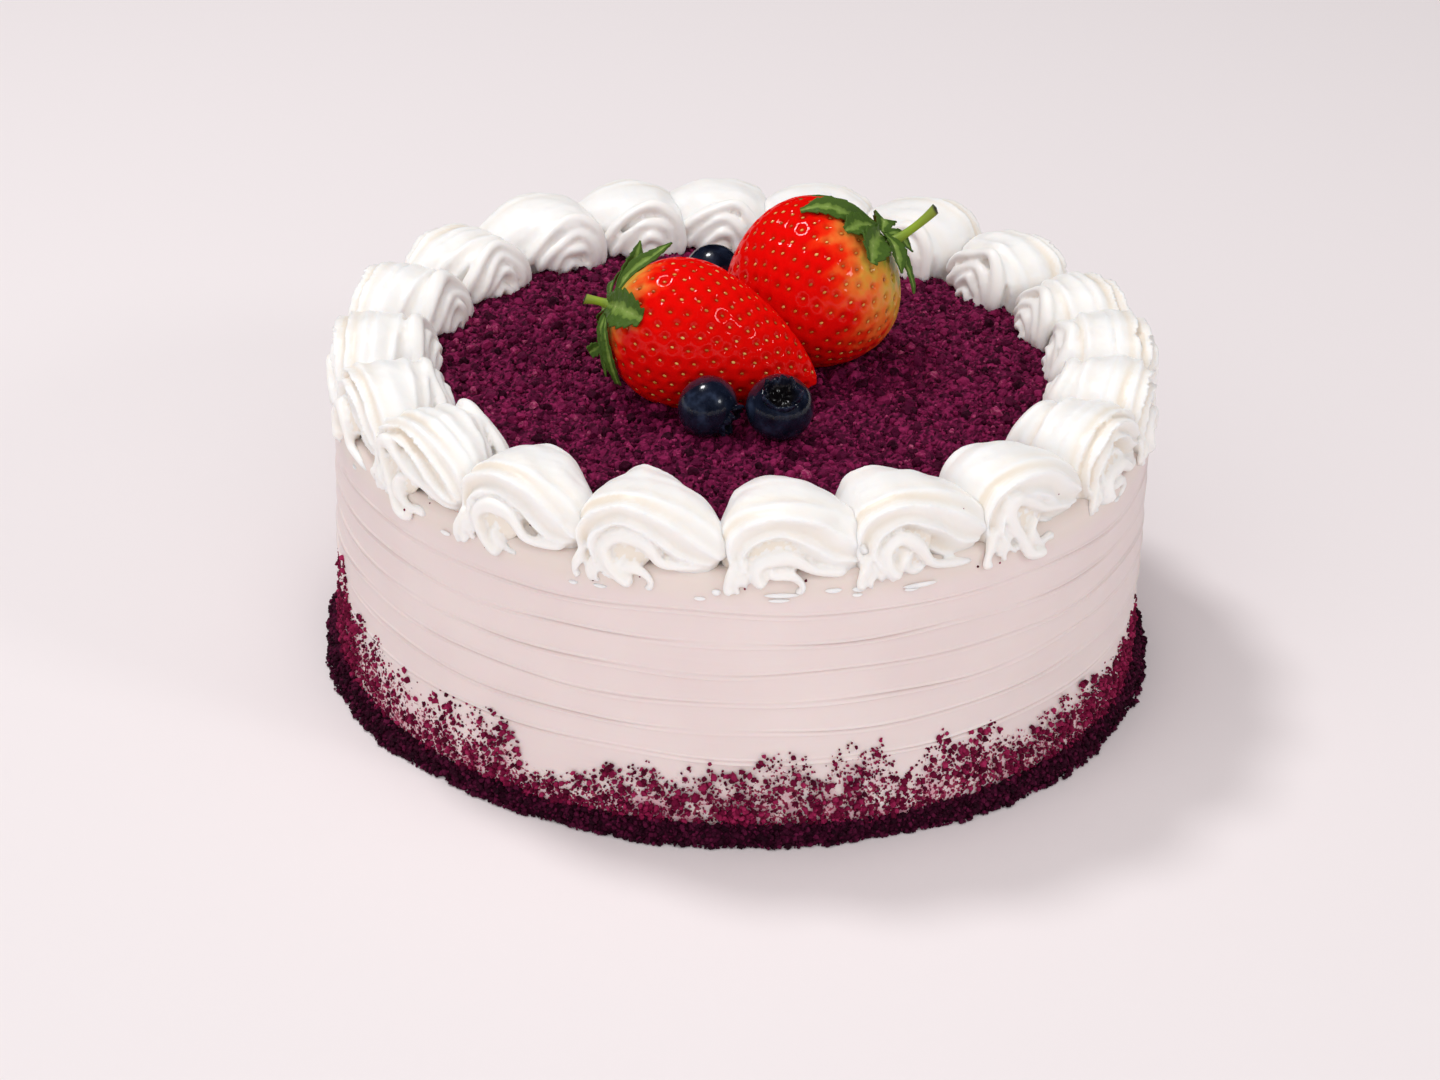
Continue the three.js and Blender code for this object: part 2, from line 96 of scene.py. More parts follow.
# Cream wall: whipped cream spread smooth over the layers and combed with six
# level lines, each a thin raised edge that comes and goes. It is one turned
# skin; crumb pressed on its foot has stained the cream above it. Its cream is
# painted pinker and darker than the piped cream, as painted shade and pink
# bounce light, and each comb line carries a painted highlight on its edge and
# painted shade just under it.
wall_radius = 0.100
cream_top = 0.069
top_edge = 0.0025
waviness = 0.00018
comb_lowest = 0.0216
comb_pitch = 0.0074
comb_count = 6
comb_height = 0.00055
smooth_band = 0.061
wall_sides = 560
stain_peaks = [
    (-164, 31), (-161, 23), (-152, 23), (-143, 22), (-136, 20), (-125.5, 24), (-122, 22),
    (-118, 12.5), (-113.6, 12), (-108, 16), (-102, 20), (-98, 17), (-94, 21), (-90, 17),
    (-86.6, 21), (-83, 28), (-78.6, 18), (-74, 26.5), (-70.5, 24), (-67, 14), (-63, 23),
    (-58, 23), (-52, 22.6), (-46, 17.6), (-39.5, 18.5), (-31.6, 18), (-26, 17.4), (-20, 19),
    (-12, 25), (-5, 18), (2, 14), (10, 20), (18, 24), (25, 17), (33, 21), (41, 27), (48, 19),
    (56, 14), (64, 21), (72, 25), (80, 17), (88, 23), (96, 26), (103, 15), (110, 19), (118, 24),
    (126, 17), (133, 22), (141, 27), (149, 20), (156, 15), (163, 22), (171, 26), (179, 20),
    (187, 25),
]


def deselect_all():
    if bpy.context.object and bpy.context.object.mode != "OBJECT":
        bpy.ops.object.mode_set(mode="OBJECT")
    bpy.ops.object.select_all(action="DESELECT")


def corners_of(piece):
    flat = np.empty(len(piece.data.vertices) * 3)
    piece.data.vertices.foreach_get("co", flat)
    return flat.reshape(-1, 3)


def move_corners(piece, places):
    piece.data.vertices.foreach_set("co", np.asarray(places, dtype=float).ravel())
    piece.data.update()


def normals_of(piece):
    flat = np.empty(len(piece.data.vertices) * 3)
    piece.data.vertices.foreach_get("normal", flat)
    return flat.reshape(-1, 3)


def keep_values(piece, name, values):
    layer = piece.data.attributes.new(name, "FLOAT", "POINT")
    layer.data.foreach_set("value", np.asarray(values, dtype=np.float32))


def turned(name, outline, sides, closed):
    deselect_all()
    mesh = bpy.data.meshes.new(name)
    edges = [(i, i + 1) for i in range(len(outline) - 1)]
    if closed:
        edges.append((len(outline) - 1, 0))
    mesh.from_pydata([(out, 0, up) for out, up in outline], edges, [])
    piece = bpy.data.objects.new(name, mesh)
    bpy.context.collection.objects.link(piece)
    bpy.context.view_layer.objects.active = piece
    piece.select_set(True)
    lathe = piece.modifiers.new("lathe", "SCREW")
    lathe.steps = sides
    lathe.render_steps = sides
    lathe.use_merge_vertices = True
    lathe.merge_threshold = 0.00002
    lathe.use_normal_calculate = True
    bpy.ops.object.modifier_apply(modifier="lathe")
    bpy.ops.object.mode_set(mode="EDIT")
    bpy.ops.mesh.select_all(action="SELECT")
    bpy.ops.mesh.normals_make_consistent(inside=False)
    bpy.ops.object.mode_set(mode="OBJECT")
    return piece


def crumb_height(degrees):
    angles = [angle for angle, peak in stain_peaks]
    peaks = [peak / 1000 for angle, peak in stain_peaks]
    return np.interp((degrees + 164) % 360 - 164, angles, peaks, period=360)


def comes_and_goes(angle, first, second, lag):
    return 0.5 + 0.3 * np.sin(first * angle + lag) + 0.2 * np.sin(second * angle + 2.3 * lag)


def node(tree, kind, **values):
    made = tree.nodes.new(kind)
    for name, value in values.items():
        setattr(made, name, value)
    return made


def texture_noise(tree, place, scale, detail=2.0, stretch=None):
    noise = node(tree, "ShaderNodeTexNoise")
    noise.inputs["Scale"].default_value = scale
    noise.inputs["Detail"].default_value = detail
    if stretch is not None:
        squeeze = node(tree, "ShaderNodeMapping")
        squeeze.inputs["Scale"].default_value = stretch
        tree.links.new(place, squeeze.inputs["Vector"])
        place = squeeze.outputs["Vector"]
    tree.links.new(place, noise.inputs["Vector"])
    return noise.outputs["Fac"]


def ramp(tree, value, stops):
    made = node(tree, "ShaderNodeValToRGB")
    while len(made.color_ramp.elements) < len(stops):
        made.color_ramp.elements.new(0.5)
    for element, (place, colour) in zip(made.color_ramp.elements, stops):
        element.position = place
        element.color = (*colour, 1)
    tree.links.new(value, made.inputs["Fac"])
    return made.outputs["Color"]


def blend(tree, share, first, second):
    mix = node(tree, "ShaderNodeMix", data_type="RGBA")
    tree.links.new(share, mix.inputs["Factor"])
    for socket, colour in ((mix.inputs["A"], first), (mix.inputs["B"], second)):
        if isinstance(colour, tuple):
            socket.default_value = (*colour, 1)
        else:
            tree.links.new(colour, socket)
    return mix.outputs["Result"]


def maths(tree, operation, first, second):
    made = node(tree, "ShaderNodeMath", operation=operation)
    for socket, value in zip(made.inputs, (first, second)):
        if isinstance(value, (int, float)):
            socket.default_value = value
        else:
            tree.links.new(value, socket)
    return made.outputs["Value"]


def finish_of(name, roughness):
    made = bpy.data.materials.new(name)
    made.use_nodes = True
    tree = made.node_tree
    shader = tree.nodes["Principled BSDF"]
    shader.inputs["Roughness"].default_value = roughness
    place = node(tree, "ShaderNodeTexCoord").outputs["Object"]
    return made, tree, shader, place


def bumped(tree, shader, height, strength, distance):
    bump = node(tree, "ShaderNodeBump")
    bump.inputs["Strength"].default_value = strength
    bump.inputs["Distance"].default_value = distance
    tree.links.new(height, bump.inputs["Height"])
    tree.links.new(bump.outputs["Normal"], shader.inputs["Normal"])


def stored(tree, name):
    return node(tree, "ShaderNodeAttribute", attribute_name=name).outputs["Fac"]


heights = [0.0022, 0.004, 0.006, 0.0085, 0.011, 0.0135, 0.016, 0.018]
for line in range(comb_count):
    middle = comb_lowest + comb_pitch * line
    heights += [middle + step / 1000 for step in np.arange(-1.75, 1.4, 0.21)]
    heights += [middle + step / 1000 for step in (2.2, 3.2, 4.3)]
heights += [0.0645, 0.0655]
outline = [(0, 0), (0.05, 0), (0.09, 0), (0.0985, 0), (0.0995, 0.0003), (wall_radius, 0.001)]
outline += [(wall_radius, height) for height in heights]
outline += [
    (wall_radius - top_edge * (1 - math.cos(turn)), cream_top - top_edge * (1 - math.sin(turn)))
    for turn in np.radians([0, 18, 36, 54, 72, 90])
]
outline += [(reach, cream_top) for reach in (0.093, 0.08, 0.06, 0.03, 0)]
cream_wall = turned("cream_wall", outline, wall_sides, False)
skin = corners_of(cream_wall)
angle = np.arctan2(skin[:, 1], skin[:, 0])
reach = np.hypot(skin[:, 0], skin[:, 1])
level = skin[:, 2].copy()
on_wall = np.clip((reach - 0.095) / 0.004, 0, 1)
lift = np.sin(2 * angle + 1) + np.sin(5 * angle + 60 * level) + np.sin(9 * angle - 90 * level)
lift *= waviness
# This comb value paints light on the comb lines: a highlight on each raised edge and shade in the dip
# under it.
comb_painted_light_mask = np.zeros(len(skin))
for line in range(comb_count):
    above = (level - comb_lowest - comb_pitch * line) * 1000
    upper = comes_and_goes(angle, 5 + line, 11, 1.7 * line)
    lower = comes_and_goes(angle, 4, 9 + line, 2.9 * line + 1)
    ridge = comb_height * upper * np.exp(-((above - 0.1) / 0.26) ** 2)
    ridge -= 0.0003 * upper * np.exp(-((above + 0.5) / 0.32) ** 2)
    ridge += 0.0004 * lower * np.exp(-((above + 1.2) / 0.24) ** 2)
    comb_painted_light_mask += ridge / comb_height
    lift += ridge
combed = np.clip((level - 0.0185) / 0.002, 0, 1) * np.clip((0.0665 - level) / 0.003, 0, 1)
wander = 0.0005 * np.sin(3 * angle + 110 * level) + 0.0003 * np.sin(7 * angle - 200 * level)
wander += 0.0002 * np.sin(13 * angle + 300 * level)
skin[:, 2] = level + combed * wander
skin[:, 0] += lift * on_wall * np.cos(angle)
skin[:, 1] += lift * on_wall * np.sin(angle)
move_corners(cream_wall, skin)
below = 1 - level / (0.82 * crumb_height(np.degrees(angle)))
keep_values(cream_wall, "stain", np.clip(below * 1.6, 0, 1) * on_wall)
keep_values(cream_wall, "comb_painted_light_mask", np.clip(0.5 + 0.5 * comb_painted_light_mask, 0, 1))
bpy.ops.object.shade_smooth()

wall_cream, tree, shader, place = finish_of("wall_cream", 0.42)
stain = stored(tree, "stain")
cloudy = texture_noise(tree, place, 28, 3)
# Painted shade and pink bounce light: the wall cream is painted pinker and darker than the piped cream.
cream_painted_pink_shade = ramp(tree, cloudy, [(0.3, (0.78, 0.658, 0.643)), (0.7, (0.825, 0.712, 0.69))])
# Painted light on the comb lines: a painted highlight on each edge, painted shade just below it.
comb_painted_light = ramp(tree, stored(tree, "comb_painted_light_mask"), [
    (0.2, (0.8, 0.74, 0.73)), (0.45, (1, 1, 1)), (0.55, (1, 1, 1)), (0.95, (1.06, 1.08, 1.08))])
height = node(tree, "ShaderNodeSeparateXYZ")
tree.links.new(place, height.inputs["Vector"])
under_border = maths(tree, "MULTIPLY", maths(tree, "SUBTRACT", height.outputs["Z"], smooth_band), 300)
cream_painted_pink_shade = blend(tree, under_border, cream_painted_pink_shade, (0.795, 0.69, 0.64))
combed_cream = node(tree, "ShaderNodeMix", data_type="RGBA", blend_type="MULTIPLY")
combed_cream.inputs["Factor"].default_value = 1
tree.links.new(cream_painted_pink_shade, combed_cream.inputs["A"])
tree.links.new(comb_painted_light, combed_cream.inputs["B"])
smears = texture_noise(tree, place, 240, 3)
smear_share = maths(tree, "MULTIPLY", stain, ramp(tree, smears, [
    (0.38, (0, 0, 0)), (0.64, (0.8, 0.8, 0.8))]))
smeared = blend(tree, smear_share, combed_cream.outputs["Result"], (0.62, 0.22, 0.32))
fine_dust = maths(tree, "ADD", texture_noise(tree, place, 1000, 2), maths(tree, "MULTIPLY", stain, 0.12))
dusted = maths(tree, "MINIMUM", maths(tree, "MULTIPLY", stain, 5.0), 1.0)
dust_share = maths(tree, "MULTIPLY", dusted, ramp(tree, fine_dust, [
    (0.62, (0, 0, 0)), (0.66, (1, 1, 1))]))
tree.links.new(blend(tree, dust_share, smeared, (0.3, 0.016, 0.065)), shader.inputs["Base Color"])
shader.inputs["Subsurface Weight"].default_value = 0.15
shader.inputs["Subsurface Scale"].default_value = 0.003
shader.inputs["Specular IOR Level"].default_value = 0.4
bumped(tree, shader, texture_noise(tree, place, 160, 3, (0.25, 0.25, 3)), 0.25, 0.0004)
cream_wall.data.materials.append(wall_cream)
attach(cream_wall, "root")
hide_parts("cake_body")


# Crumb on the wall: velvet crumb thrown and pressed on the foot of the wet
# cream, dense at the bottom and thinning out upwards in ragged drifts. Each
# grain is a small uneven lump half sunk in the cream.
wall_grain_count = 7600
wall_dust_count = 11000


def uneven_grains(name, places, sizes, seed, fineness=1):
    draw = np.random.default_rng(seed)
    deselect_all()
    if fineness:
        bpy.ops.mesh.primitive_ico_sphere_add(subdivisions=fineness, radius=0.5)
    else:
        bpy.ops.mesh.primitive_cube_add(size=0.7)
    lump = bpy.context.object
    shape = corners_of(lump)
    faces = np.array([list(face.vertices) for face in lump.data.polygons])
    bpy.data.objects.remove(lump)
    count = len(places)
    uneven = 0.3 if fineness < 2 else 0.24
    grains = shape[None] * draw.uniform(1 - uneven, 1 + uneven, (count, len(shape), 1))
    grains = grains * draw.uniform(0.75, 1.2, (count, 1, 3)) * np.asarray(sizes)[:, None, None]
    axis = draw.normal(size=(count, 4))
    w, x, y, z = (axis / np.linalg.norm(axis, axis=1, keepdims=True)).T
    turn = np.array([
        [1 - 2 * (y * y + z * z), 2 * (x * y - z * w), 2 * (x * z + y * w)],
        [2 * (x * y + z * w), 1 - 2 * (x * x + z * z), 2 * (y * z - x * w)],
        [2 * (x * z - y * w), 2 * (y * z + x * w), 1 - 2 * (x * x + y * y)],
    ]).transpose(2, 0, 1)
    grains = np.einsum("nij,nkj->nki", turn, grains) + np.asarray(places)[:, None]
    whole = bpy.data.meshes.new(name)
    starts = (np.arange(count) * len(shape))[:, None, None]
    whole.from_pydata(grains.reshape(-1, 3), [], (faces[None] + starts).reshape(-1, faces.shape[1]))
    piece = bpy.data.objects.new(name, whole)
    bpy.context.collection.objects.link(piece)
    keep_values(piece, "tone", np.repeat(draw.uniform(0, 1, count), len(shape)))
    return piece


def crumb_finish(name, stops):
    made, tree, shader, place = finish_of(name, 0.85)
    mottled = texture_noise(tree, place, 1400, 3)
    tone = maths(tree, "ADD", maths(tree, "MULTIPLY", stored(tree, "tone"), 0.65),
                 maths(tree, "MULTIPLY", mottled, 0.35))
    tree.links.new(ramp(tree, tone, stops), shader.inputs["Base Color"])
    shader.inputs["Specular IOR Level"].default_value = 0.14
    bumped(tree, shader, texture_noise(tree, place, 2600, 2), 0.6, 0.0003)
    return made


def grain_sizes(draw, count, smallest, spread):
    return smallest + spread * draw.uniform(0, 1, count) ** 2


def scattered_up(count, seed, thinning, sizes):
    draw = np.random.default_rng(seed)
    drifts = draw.uniform(-180, 180, 500)
    drift_share = 1 - draw.uniform(0, 1, len(drifts)) ** 0.75
    chosen = draw.integers(0, len(drifts), count)
    in_drift = draw.uniform(0, 1, count) < 0.6
    beside_drift = drifts[chosen] + draw.normal(0, 0.6, count)
    degrees = np.where(in_drift, beside_drift, draw.uniform(-180, 180, count))
    share = 1 - draw.uniform(0, 1, count) ** thinning
    share = np.where(in_drift, drift_share[chosen] + draw.normal(0, 0.07, count), share)
    share = np.clip(np.abs(share), 0, 1.04)
    height = 0.001 + share * (crumb_height(degrees) - 0.001)
    depth = wall_radius + 0.0001 + 0.25 * sizes
    angle = np.radians(degrees)
    return np.stack([depth * np.cos(angle), depth * np.sin(angle), height], 1)


draw = np.random.default_rng(40)
size = grain_sizes(draw, wall_grain_count, 0.0007, 0.001)
size *= np.where(draw.uniform(0, 1, wall_grain_count) < 0.03, 1.4, 1)
wall_crumbs = uneven_grains("wall_crumbs", scattered_up(wall_grain_count, 41, 0.62, size), size, 42)
wall_crumb = crumb_finish("wall_crumb", [
    (0.15, (0.05, 0.001, 0.012)), (0.5, (0.16, 0.003, 0.034)), (0.85, (0.36, 0.02, 0.09))])
wall_crumbs.data.materials.append(wall_crumb)
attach(wall_crumbs, "root")

size = 0.00032 + 0.00036 * draw.uniform(0, 1, wall_dust_count)
wall_dust = uneven_grains("wall_dust", scattered_up(wall_dust_count, 43, 0.55, size), size, 44, 0)
wall_dust.data.materials.append(wall_crumb)
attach(wall_dust, "root")


# Crumb round the foot: loose velvet crumb that fell and packed into a low bank
# against the wall. A ragged bank carries loose grains of the same crumb, painted
# darker than the wall crumb as painted shade at the foot.
bank_reach = 0.0031
bank_height = 0.0032
bank_sides = 900
bank_outline = [
    (-0.2, 0), (-0.2, 0.9), (0, 1), (0.2, 0.97), (0.4, 0.85), (0.6, 0.66), (0.8, 0.4), (0.95, 0.12),
    (1, 0),
]
outline = [(wall_radius + bank_reach * out, bank_height * up) for out, up in bank_outline]
foot_bank = turned("foot_bank", outline, bank_sides, True)


def bank_swell(angle):
    swell = 1 + 0.13 * np.sin(7 * angle + 1) + 0.1 * np.sin(17 * angle) + 0.08 * np.sin(43 * angle + 2)
    return swell + 0.06 * np.sin(97 * angle + 1)


skin = corners_of(foot_bank)
angle = np.arctan2(skin[:, 1], skin[:, 0])
reach = np.hypot(skin[:, 0], skin[:, 1])
draw = np.random.default_rng(51)
out = wall_radius + (reach - wall_radius) * bank_swell(angle) + draw.normal(0, 0.00018, len(skin))
skin[:, 0] = out * np.cos(angle)
skin[:, 1] = out * np.sin(angle)
rise = skin[:, 2] * (0.75 + 0.35 * bank_swell(angle + 0.05)) + draw.normal(0, 0.00025, len(skin))
skin[:, 2] = np.where(skin[:, 2] > 0.0001, np.maximum(rise, 0.0001), 0)
move_corners(foot_bank, skin)
keep_values(foot_bank, "tone", draw.uniform(0, 1, len(skin)))
# Painted shade: the same crumb as on the wall, painted much darker because the foot lies in shade.
bank_crumb_painted_shade = crumb_finish("bank_crumb_painted_shade", [
    (0.2, (0.014, 0.001, 0.006)), (0.55, (0.04, 0.002, 0.015)), (0.85, (0.11, 0.006, 0.038))])
foot_bank.data.materials.append(bank_crumb_painted_shade)
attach(foot_bank, "root")
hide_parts("foot_crumbs")

bank_grain_count = 7800
degrees = draw.uniform(-180, 180, bank_grain_count)
angle = np.radians(degrees)
out_share = draw.uniform(0, 1.3, bank_grain_count) ** 0.9
top = np.interp(out_share, [0, 0.2, 0.4, 0.6, 0.8, 0.95, 1, 1.3], [1, 0.97, 0.85, 0.66, 0.4, 0.12, 0, 0])
size = grain_sizes(draw, bank_grain_count, 0.0006, 0.001)
out = wall_radius + 0.0003 + bank_reach * out_share * bank_swell(angle)
height = bank_height * top * (0.75 + 0.35 * bank_swell(angle + 0.05)) + 0.35 * size
places = np.stack([out * np.cos(angle), out * np.sin(angle), height], 1)
foot_grains = uneven_grains("foot_grains", places, size, 52)
foot_grains.data.materials.append(bank_crumb_painted_shade)
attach(foot_grains, "root")


# Crumb bed: a thin layer of fine velvet crumb strewn on the top inside the
# piped border. It is a closed slab with granular relief, and clumps and loose
# grains of the same crumb lie on it. Pale pink specks scattered at random
# through its colour are painted glints.
bed_radius = 0.0815
bed_level = 0.0716
bed_mound = 0.0009
bed_underside = 0.0689
bed_squares = 290
deselect_all()
bpy.ops.mesh.primitive_grid_add(
    x_subdivisions=bed_squares, y_subdivisions=bed_squares, size=2 * bed_radius)
crumb_bed = bpy.context.object
crumb_bed.name = "crumb_bed"
bpy.ops.object.mode_set(mode="EDIT")
bpy.ops.mesh.select_all(action="DESELECT")
bpy.ops.object.mode_set(mode="OBJECT")
for corner in crumb_bed.data.vertices:
    corner.select = math.hypot(corner.co.x, corner.co.y) > bed_radius
bpy.ops.object.mode_set(mode="EDIT")
bpy.ops.mesh.delete(type="VERT")
bpy.ops.object.mode_set(mode="OBJECT")
skin = corners_of(crumb_bed)
draw = np.random.default_rng(61)
reach = np.hypot(skin[:, 0], skin[:, 1])


def bed_height(x, y):
    reach = np.hypot(x, y)
    soft = 0.00035 * (np.sin(310 * x + 2 * np.sin(190 * y)) + np.sin(270 * y + 2 * np.sin(230 * x + 1)))
    clumps = np.sin(700 * x + 900 * y) * np.sin(820 * y - 500 * x + 1)
    clumps = 0.0003 * (clumps + np.sin(1200 * x) * np.sin(1100 * y))
    return bed_level + bed_mound * (1 - (reach / bed_radius) ** 2) + soft + clumps


skin[:, 2] = bed_height(skin[:, 0], skin[:, 1])
skin[:, :2] += draw.normal(0, 0.00008, (len(skin), 2))
move_corners(crumb_bed, skin)
grain_relief = bpy.data.textures.new("grain_relief", "VORONOI")
grain_relief.noise_scale = 0.0017
grain_relief.distance_metric = "DISTANCE_SQUARED"
relief = crumb_bed.modifiers.new("grain_relief", "DISPLACE")
relief.texture = grain_relief
relief.texture_coords = "LOCAL"
relief.strength = -0.0019
relief.mid_level = 0.3
bpy.context.view_layer.objects.active = crumb_bed
bpy.ops.object.modifier_apply(modifier="grain_relief")
bpy.ops.object.shade_smooth()
keep_values(crumb_bed, "tone", draw.uniform(0, 1, len(crumb_bed.data.vertices)))
bpy.ops.object.mode_set(mode="EDIT")
bpy.ops.mesh.select_all(action="DESELECT")
bpy.ops.mesh.select_non_manifold()
bpy.ops.mesh.extrude_region_move(TRANSFORM_OT_translate={"value": (0, 0, -0.001)})
bpy.ops.transform.resize(value=(1, 1, 0), center_override=(0, 0, bed_underside))
bpy.ops.mesh.edge_face_add()
bpy.ops.mesh.select_all(action="SELECT")
bpy.ops.mesh.normals_make_consistent(inside=False)
bpy.ops.object.mode_set(mode="OBJECT")
# The palest stop gives pale pink specks at random: painted glints.
bed_crumb_painted_glints = crumb_finish("bed_crumb_painted_glints", [
    (0.14, (0.016, 0.0004, 0.006)), (0.45, (0.09, 0.0025, 0.03)), (0.8, (0.27, 0.014, 0.085)),
    (0.97, (0.62, 0.2, 0.3))])
crumb_bed.data.materials.append(bed_crumb_painted_glints)
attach(crumb_bed, "root")
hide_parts("crumb_top")

clump_count = 2000
bed_grain_count = 9000


def strewn_on_bed(count, widest, smallest, spread, raised, clear):
    angle = draw.uniform(0, 2 * math.pi, count)
    reach = widest * np.sqrt(draw.uniform(0, 1, count))
    size = grain_sizes(draw, count, smallest, spread)
    x = reach * np.cos(angle)
    y = reach * np.sin(angle)
    return np.stack([x, y, bed_height(x, y) + raised * size + clear], 1), size


places, size = strewn_on_bed(clump_count, bed_radius - 0.001, 0.0014, 0.0016, 0.1, 0)
bed_clumps = uneven_grains("bed_clumps", places, size, 63, 2)
bed_clumps.data.materials.append(bed_crumb_painted_glints)
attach(bed_clumps, "root")

places, size = strewn_on_bed(bed_grain_count, bed_radius, 0.0006, 0.0008, 0.15, 0.0001)
bed_grains = uneven_grains("bed_grains", places, size, 62)
bed_grains.data.materials.append(bed_crumb_painted_glints)
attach(bed_grains, "root")


# Piped border: twenty shells of whipped cream from an open star nozzle. Each is
# a fat ridged head that tails off under the next, with curls and feet over the
# wall edge and nested arches inside, all melted into one skin. The grooves, the
# hollows behind the curls and the undersides of the strands are painted a warmer,
# darker cream as painted shade.
border_radius = 87.8
border_lean = 3.4
curl_height = 70.8
shell_half_width = 12.7
outer_hold = 0.7
shell_count = 20
shell_pitch = 18
shell_sides = 160
shell_rings = 110
skin_fineness = 0.00054
deepest_groove = 0.29
path_reach = 100
strand_reach = 101.3
first_head_angle = -123.5
shell_shift = [
    0, 0.5, 2, 1.2, 1.6, 3.4, 2.4, 1.2, -0.8, 0.8, 1.2, 1.5, 0.8, -2.4, -4, -3.4, -2.8, -1.4, -1, -0.8,
]
layer_places = [0, 0.27, 0.62, 1]
layer_paths = [
    [(2.6, -3.8), (0.8, -3.2), (-0.8, -0.6), (-0.3, 1.5), (1.5, 2.2), (4.5, -1.5), (12, -4.8), (21, -5)],
    [(1.4, -5.6), (-2.2, -3.6), (-4.6, 0.2), (-3.4, 4.0), (1.0, 5.8), (6.4, 2.7), (12, -0.5), (21, -1.6)],
    [(-4, -6), (-7.0, -1.6), (-9.2, 3.2), (-7.2, 8.4), (-0.2, 11.4), (8, 9.4), (15, 4.4), (22, 1)],
    [(-9.5, -6), (-12.4, -2), (-13, 5), (-9.2, 12), (0, 15), (10.5, 14), (20, 9.2), (25, 1)],
]
beside = [5, 6, 7, 8, 9, 15, 16, 17, 18, 19]
curl_paths = {
    1: [(2.4, -5.4), (-0.4, -4.6), (-3.3, -1.8), (-4.7, 1.7), (-2.9, 4.5), (-0.1, 5.7), (4.1, 4.9),
        (6.4, 2.7), (8.7, 0), (13.2, -0.7), (18.8, -0.7)],
    2: [(-2.1, -4.3), (-3.9, -1.8), (-3.8, 0.7), (-2.3, 2.0), (-0.1, 2.5), (2.6, 3.0), (5.5, 1.6),
        (8.9, -0.5), (13.5, -1.8), (17, -2.2)],
    3: [(-1.2, -4.3), (-4.0, -1.7), (-4.9, 1.7), (-3.8, 4.1), (-1.7, 5.3), (0.2, 5.0), (2.7, 3.1),
        (4.4, 0.8), (6.8, -2.2), (12.0, -3.8), (18.7, -4.8)],
    4: [(7.0, -6.8), (2.1, -6.3), (-0.7, -2.3), (-3.8, 2.4), (-5.6, 6.7), (-4.9, 8.2), (-2.3, 8.8),
        (2.6, 6.1), (5.9, 4.0), (13.0, 2.0), (17, 0)],
}
inner_curls = {
    2: [(-1.5, 0), (-0.5, -1.6), (2, -1.4), (4.5, -2.2), (6.2, -4.2), (6, -6), (4.8, -6.4)],
    3: [(0, 1.5), (-1.2, -0.4), (0, -2.6), (2, -3.4), (4.6, -3.2)],
    4: [(2.5, 2.6), (1.2, -0.4), (2.6, -3), (5, -4.8), (8.5, -4.8), (10, -6)],
    0: [(0, 0.4), (1, -2), (3.4, -4.4), (6, -5)],
}
arch_sizes = [(77.3, 1.9), (76.6, 1.8), (75.9, 1.65), (75.4, 1.4)]
arch_paths = [
    [(-8.3, 0.4), (-9.6, 4), (-7.6, 9.4), (-1.5, 13), (6, 12), (13, 8), (18, 3)],
    [(-5.2, 0.4), (-6.2, 3.6), (-4.4, 7.6), (0.4, 10), (6.4, 8.8), (12, 5), (15.5, 1.4)],
    [(-2, 0.6), (-2.8, 3), (-1, 5.8), (3, 6.8), (7.4, 4.8), (10.5, 1.4)],
    [(1, 0.5), (1.2, 2.4), (3.4, 3.6), (6, 2), (7, 0.6)],
]


# The shells of the solids take the same draws, so each keeps its own size here.
def piping_draws(seed):
    state = seed
    while True:
        state = (state * 1664525 + 1013904223) % 4294967296
        yield state / 4294967296


def between(low, high, share):
    return low + (high - low) * share


def ball_of(name, segments, rings):
    deselect_all()
    bpy.ops.mesh.primitive_uv_sphere_add(segments=segments, ring_count=rings, radius=1)
    piece = bpy.context.object
    piece.name = name
    skin = corners_of(piece)
    along = np.arcsin(np.clip(skin[:, 2], -1, 1)) / math.pi + 0.5
    around = np.arctan2(skin[:, 1], skin[:, 0])
    bpy.ops.object.shade_smooth()
    return piece, along, around


def join_into(piece, others):
    deselect_all()
    for other in others:
        other.select_set(True)
    piece.select_set(True)
    bpy.context.view_layer.objects.active = piece
    bpy.ops.object.join()
    return piece


def smooth_path(knots, share):
    knots = np.array([2 * np.array(knots[0]) - knots[1], *knots, 2 * np.array(knots[-1]) - knots[-2]])
    place = np.clip(share, 0, 1) * (len(knots) - 3)
    start = np.minimum(place.astype(int), len(knots) - 4)
    step = (place - start)[:, None]
    a, b, c, d = (knots[start + i] for i in range(4))
    return 0.5 * (2 * b + (c - a) * step + (2 * a - 5 * b + 4 * c - d) * step ** 2
                  + (3 * b - a - 3 * c + d) * step ** 3)


def ripples(places, wavelength, seed):
    draw = np.random.default_rng(seed)
    heading = draw.normal(size=(16, 3))
    heading /= np.linalg.norm(heading, axis=1, keepdims=True)
    waves = heading * 2 * math.pi / (wavelength * draw.uniform(0.7, 1.6, (16, 1)))
    return np.sin(places @ waves.T + draw.uniform(0, 2 * math.pi, 16)).sum(1) / 2.83


def layer_share(layer, layers, index):
    share = np.ones_like(layer)
    for other, place in enumerate(layers):
        if other != index:
            share = share * (layer - place) / (layers[index] - place)
    return share


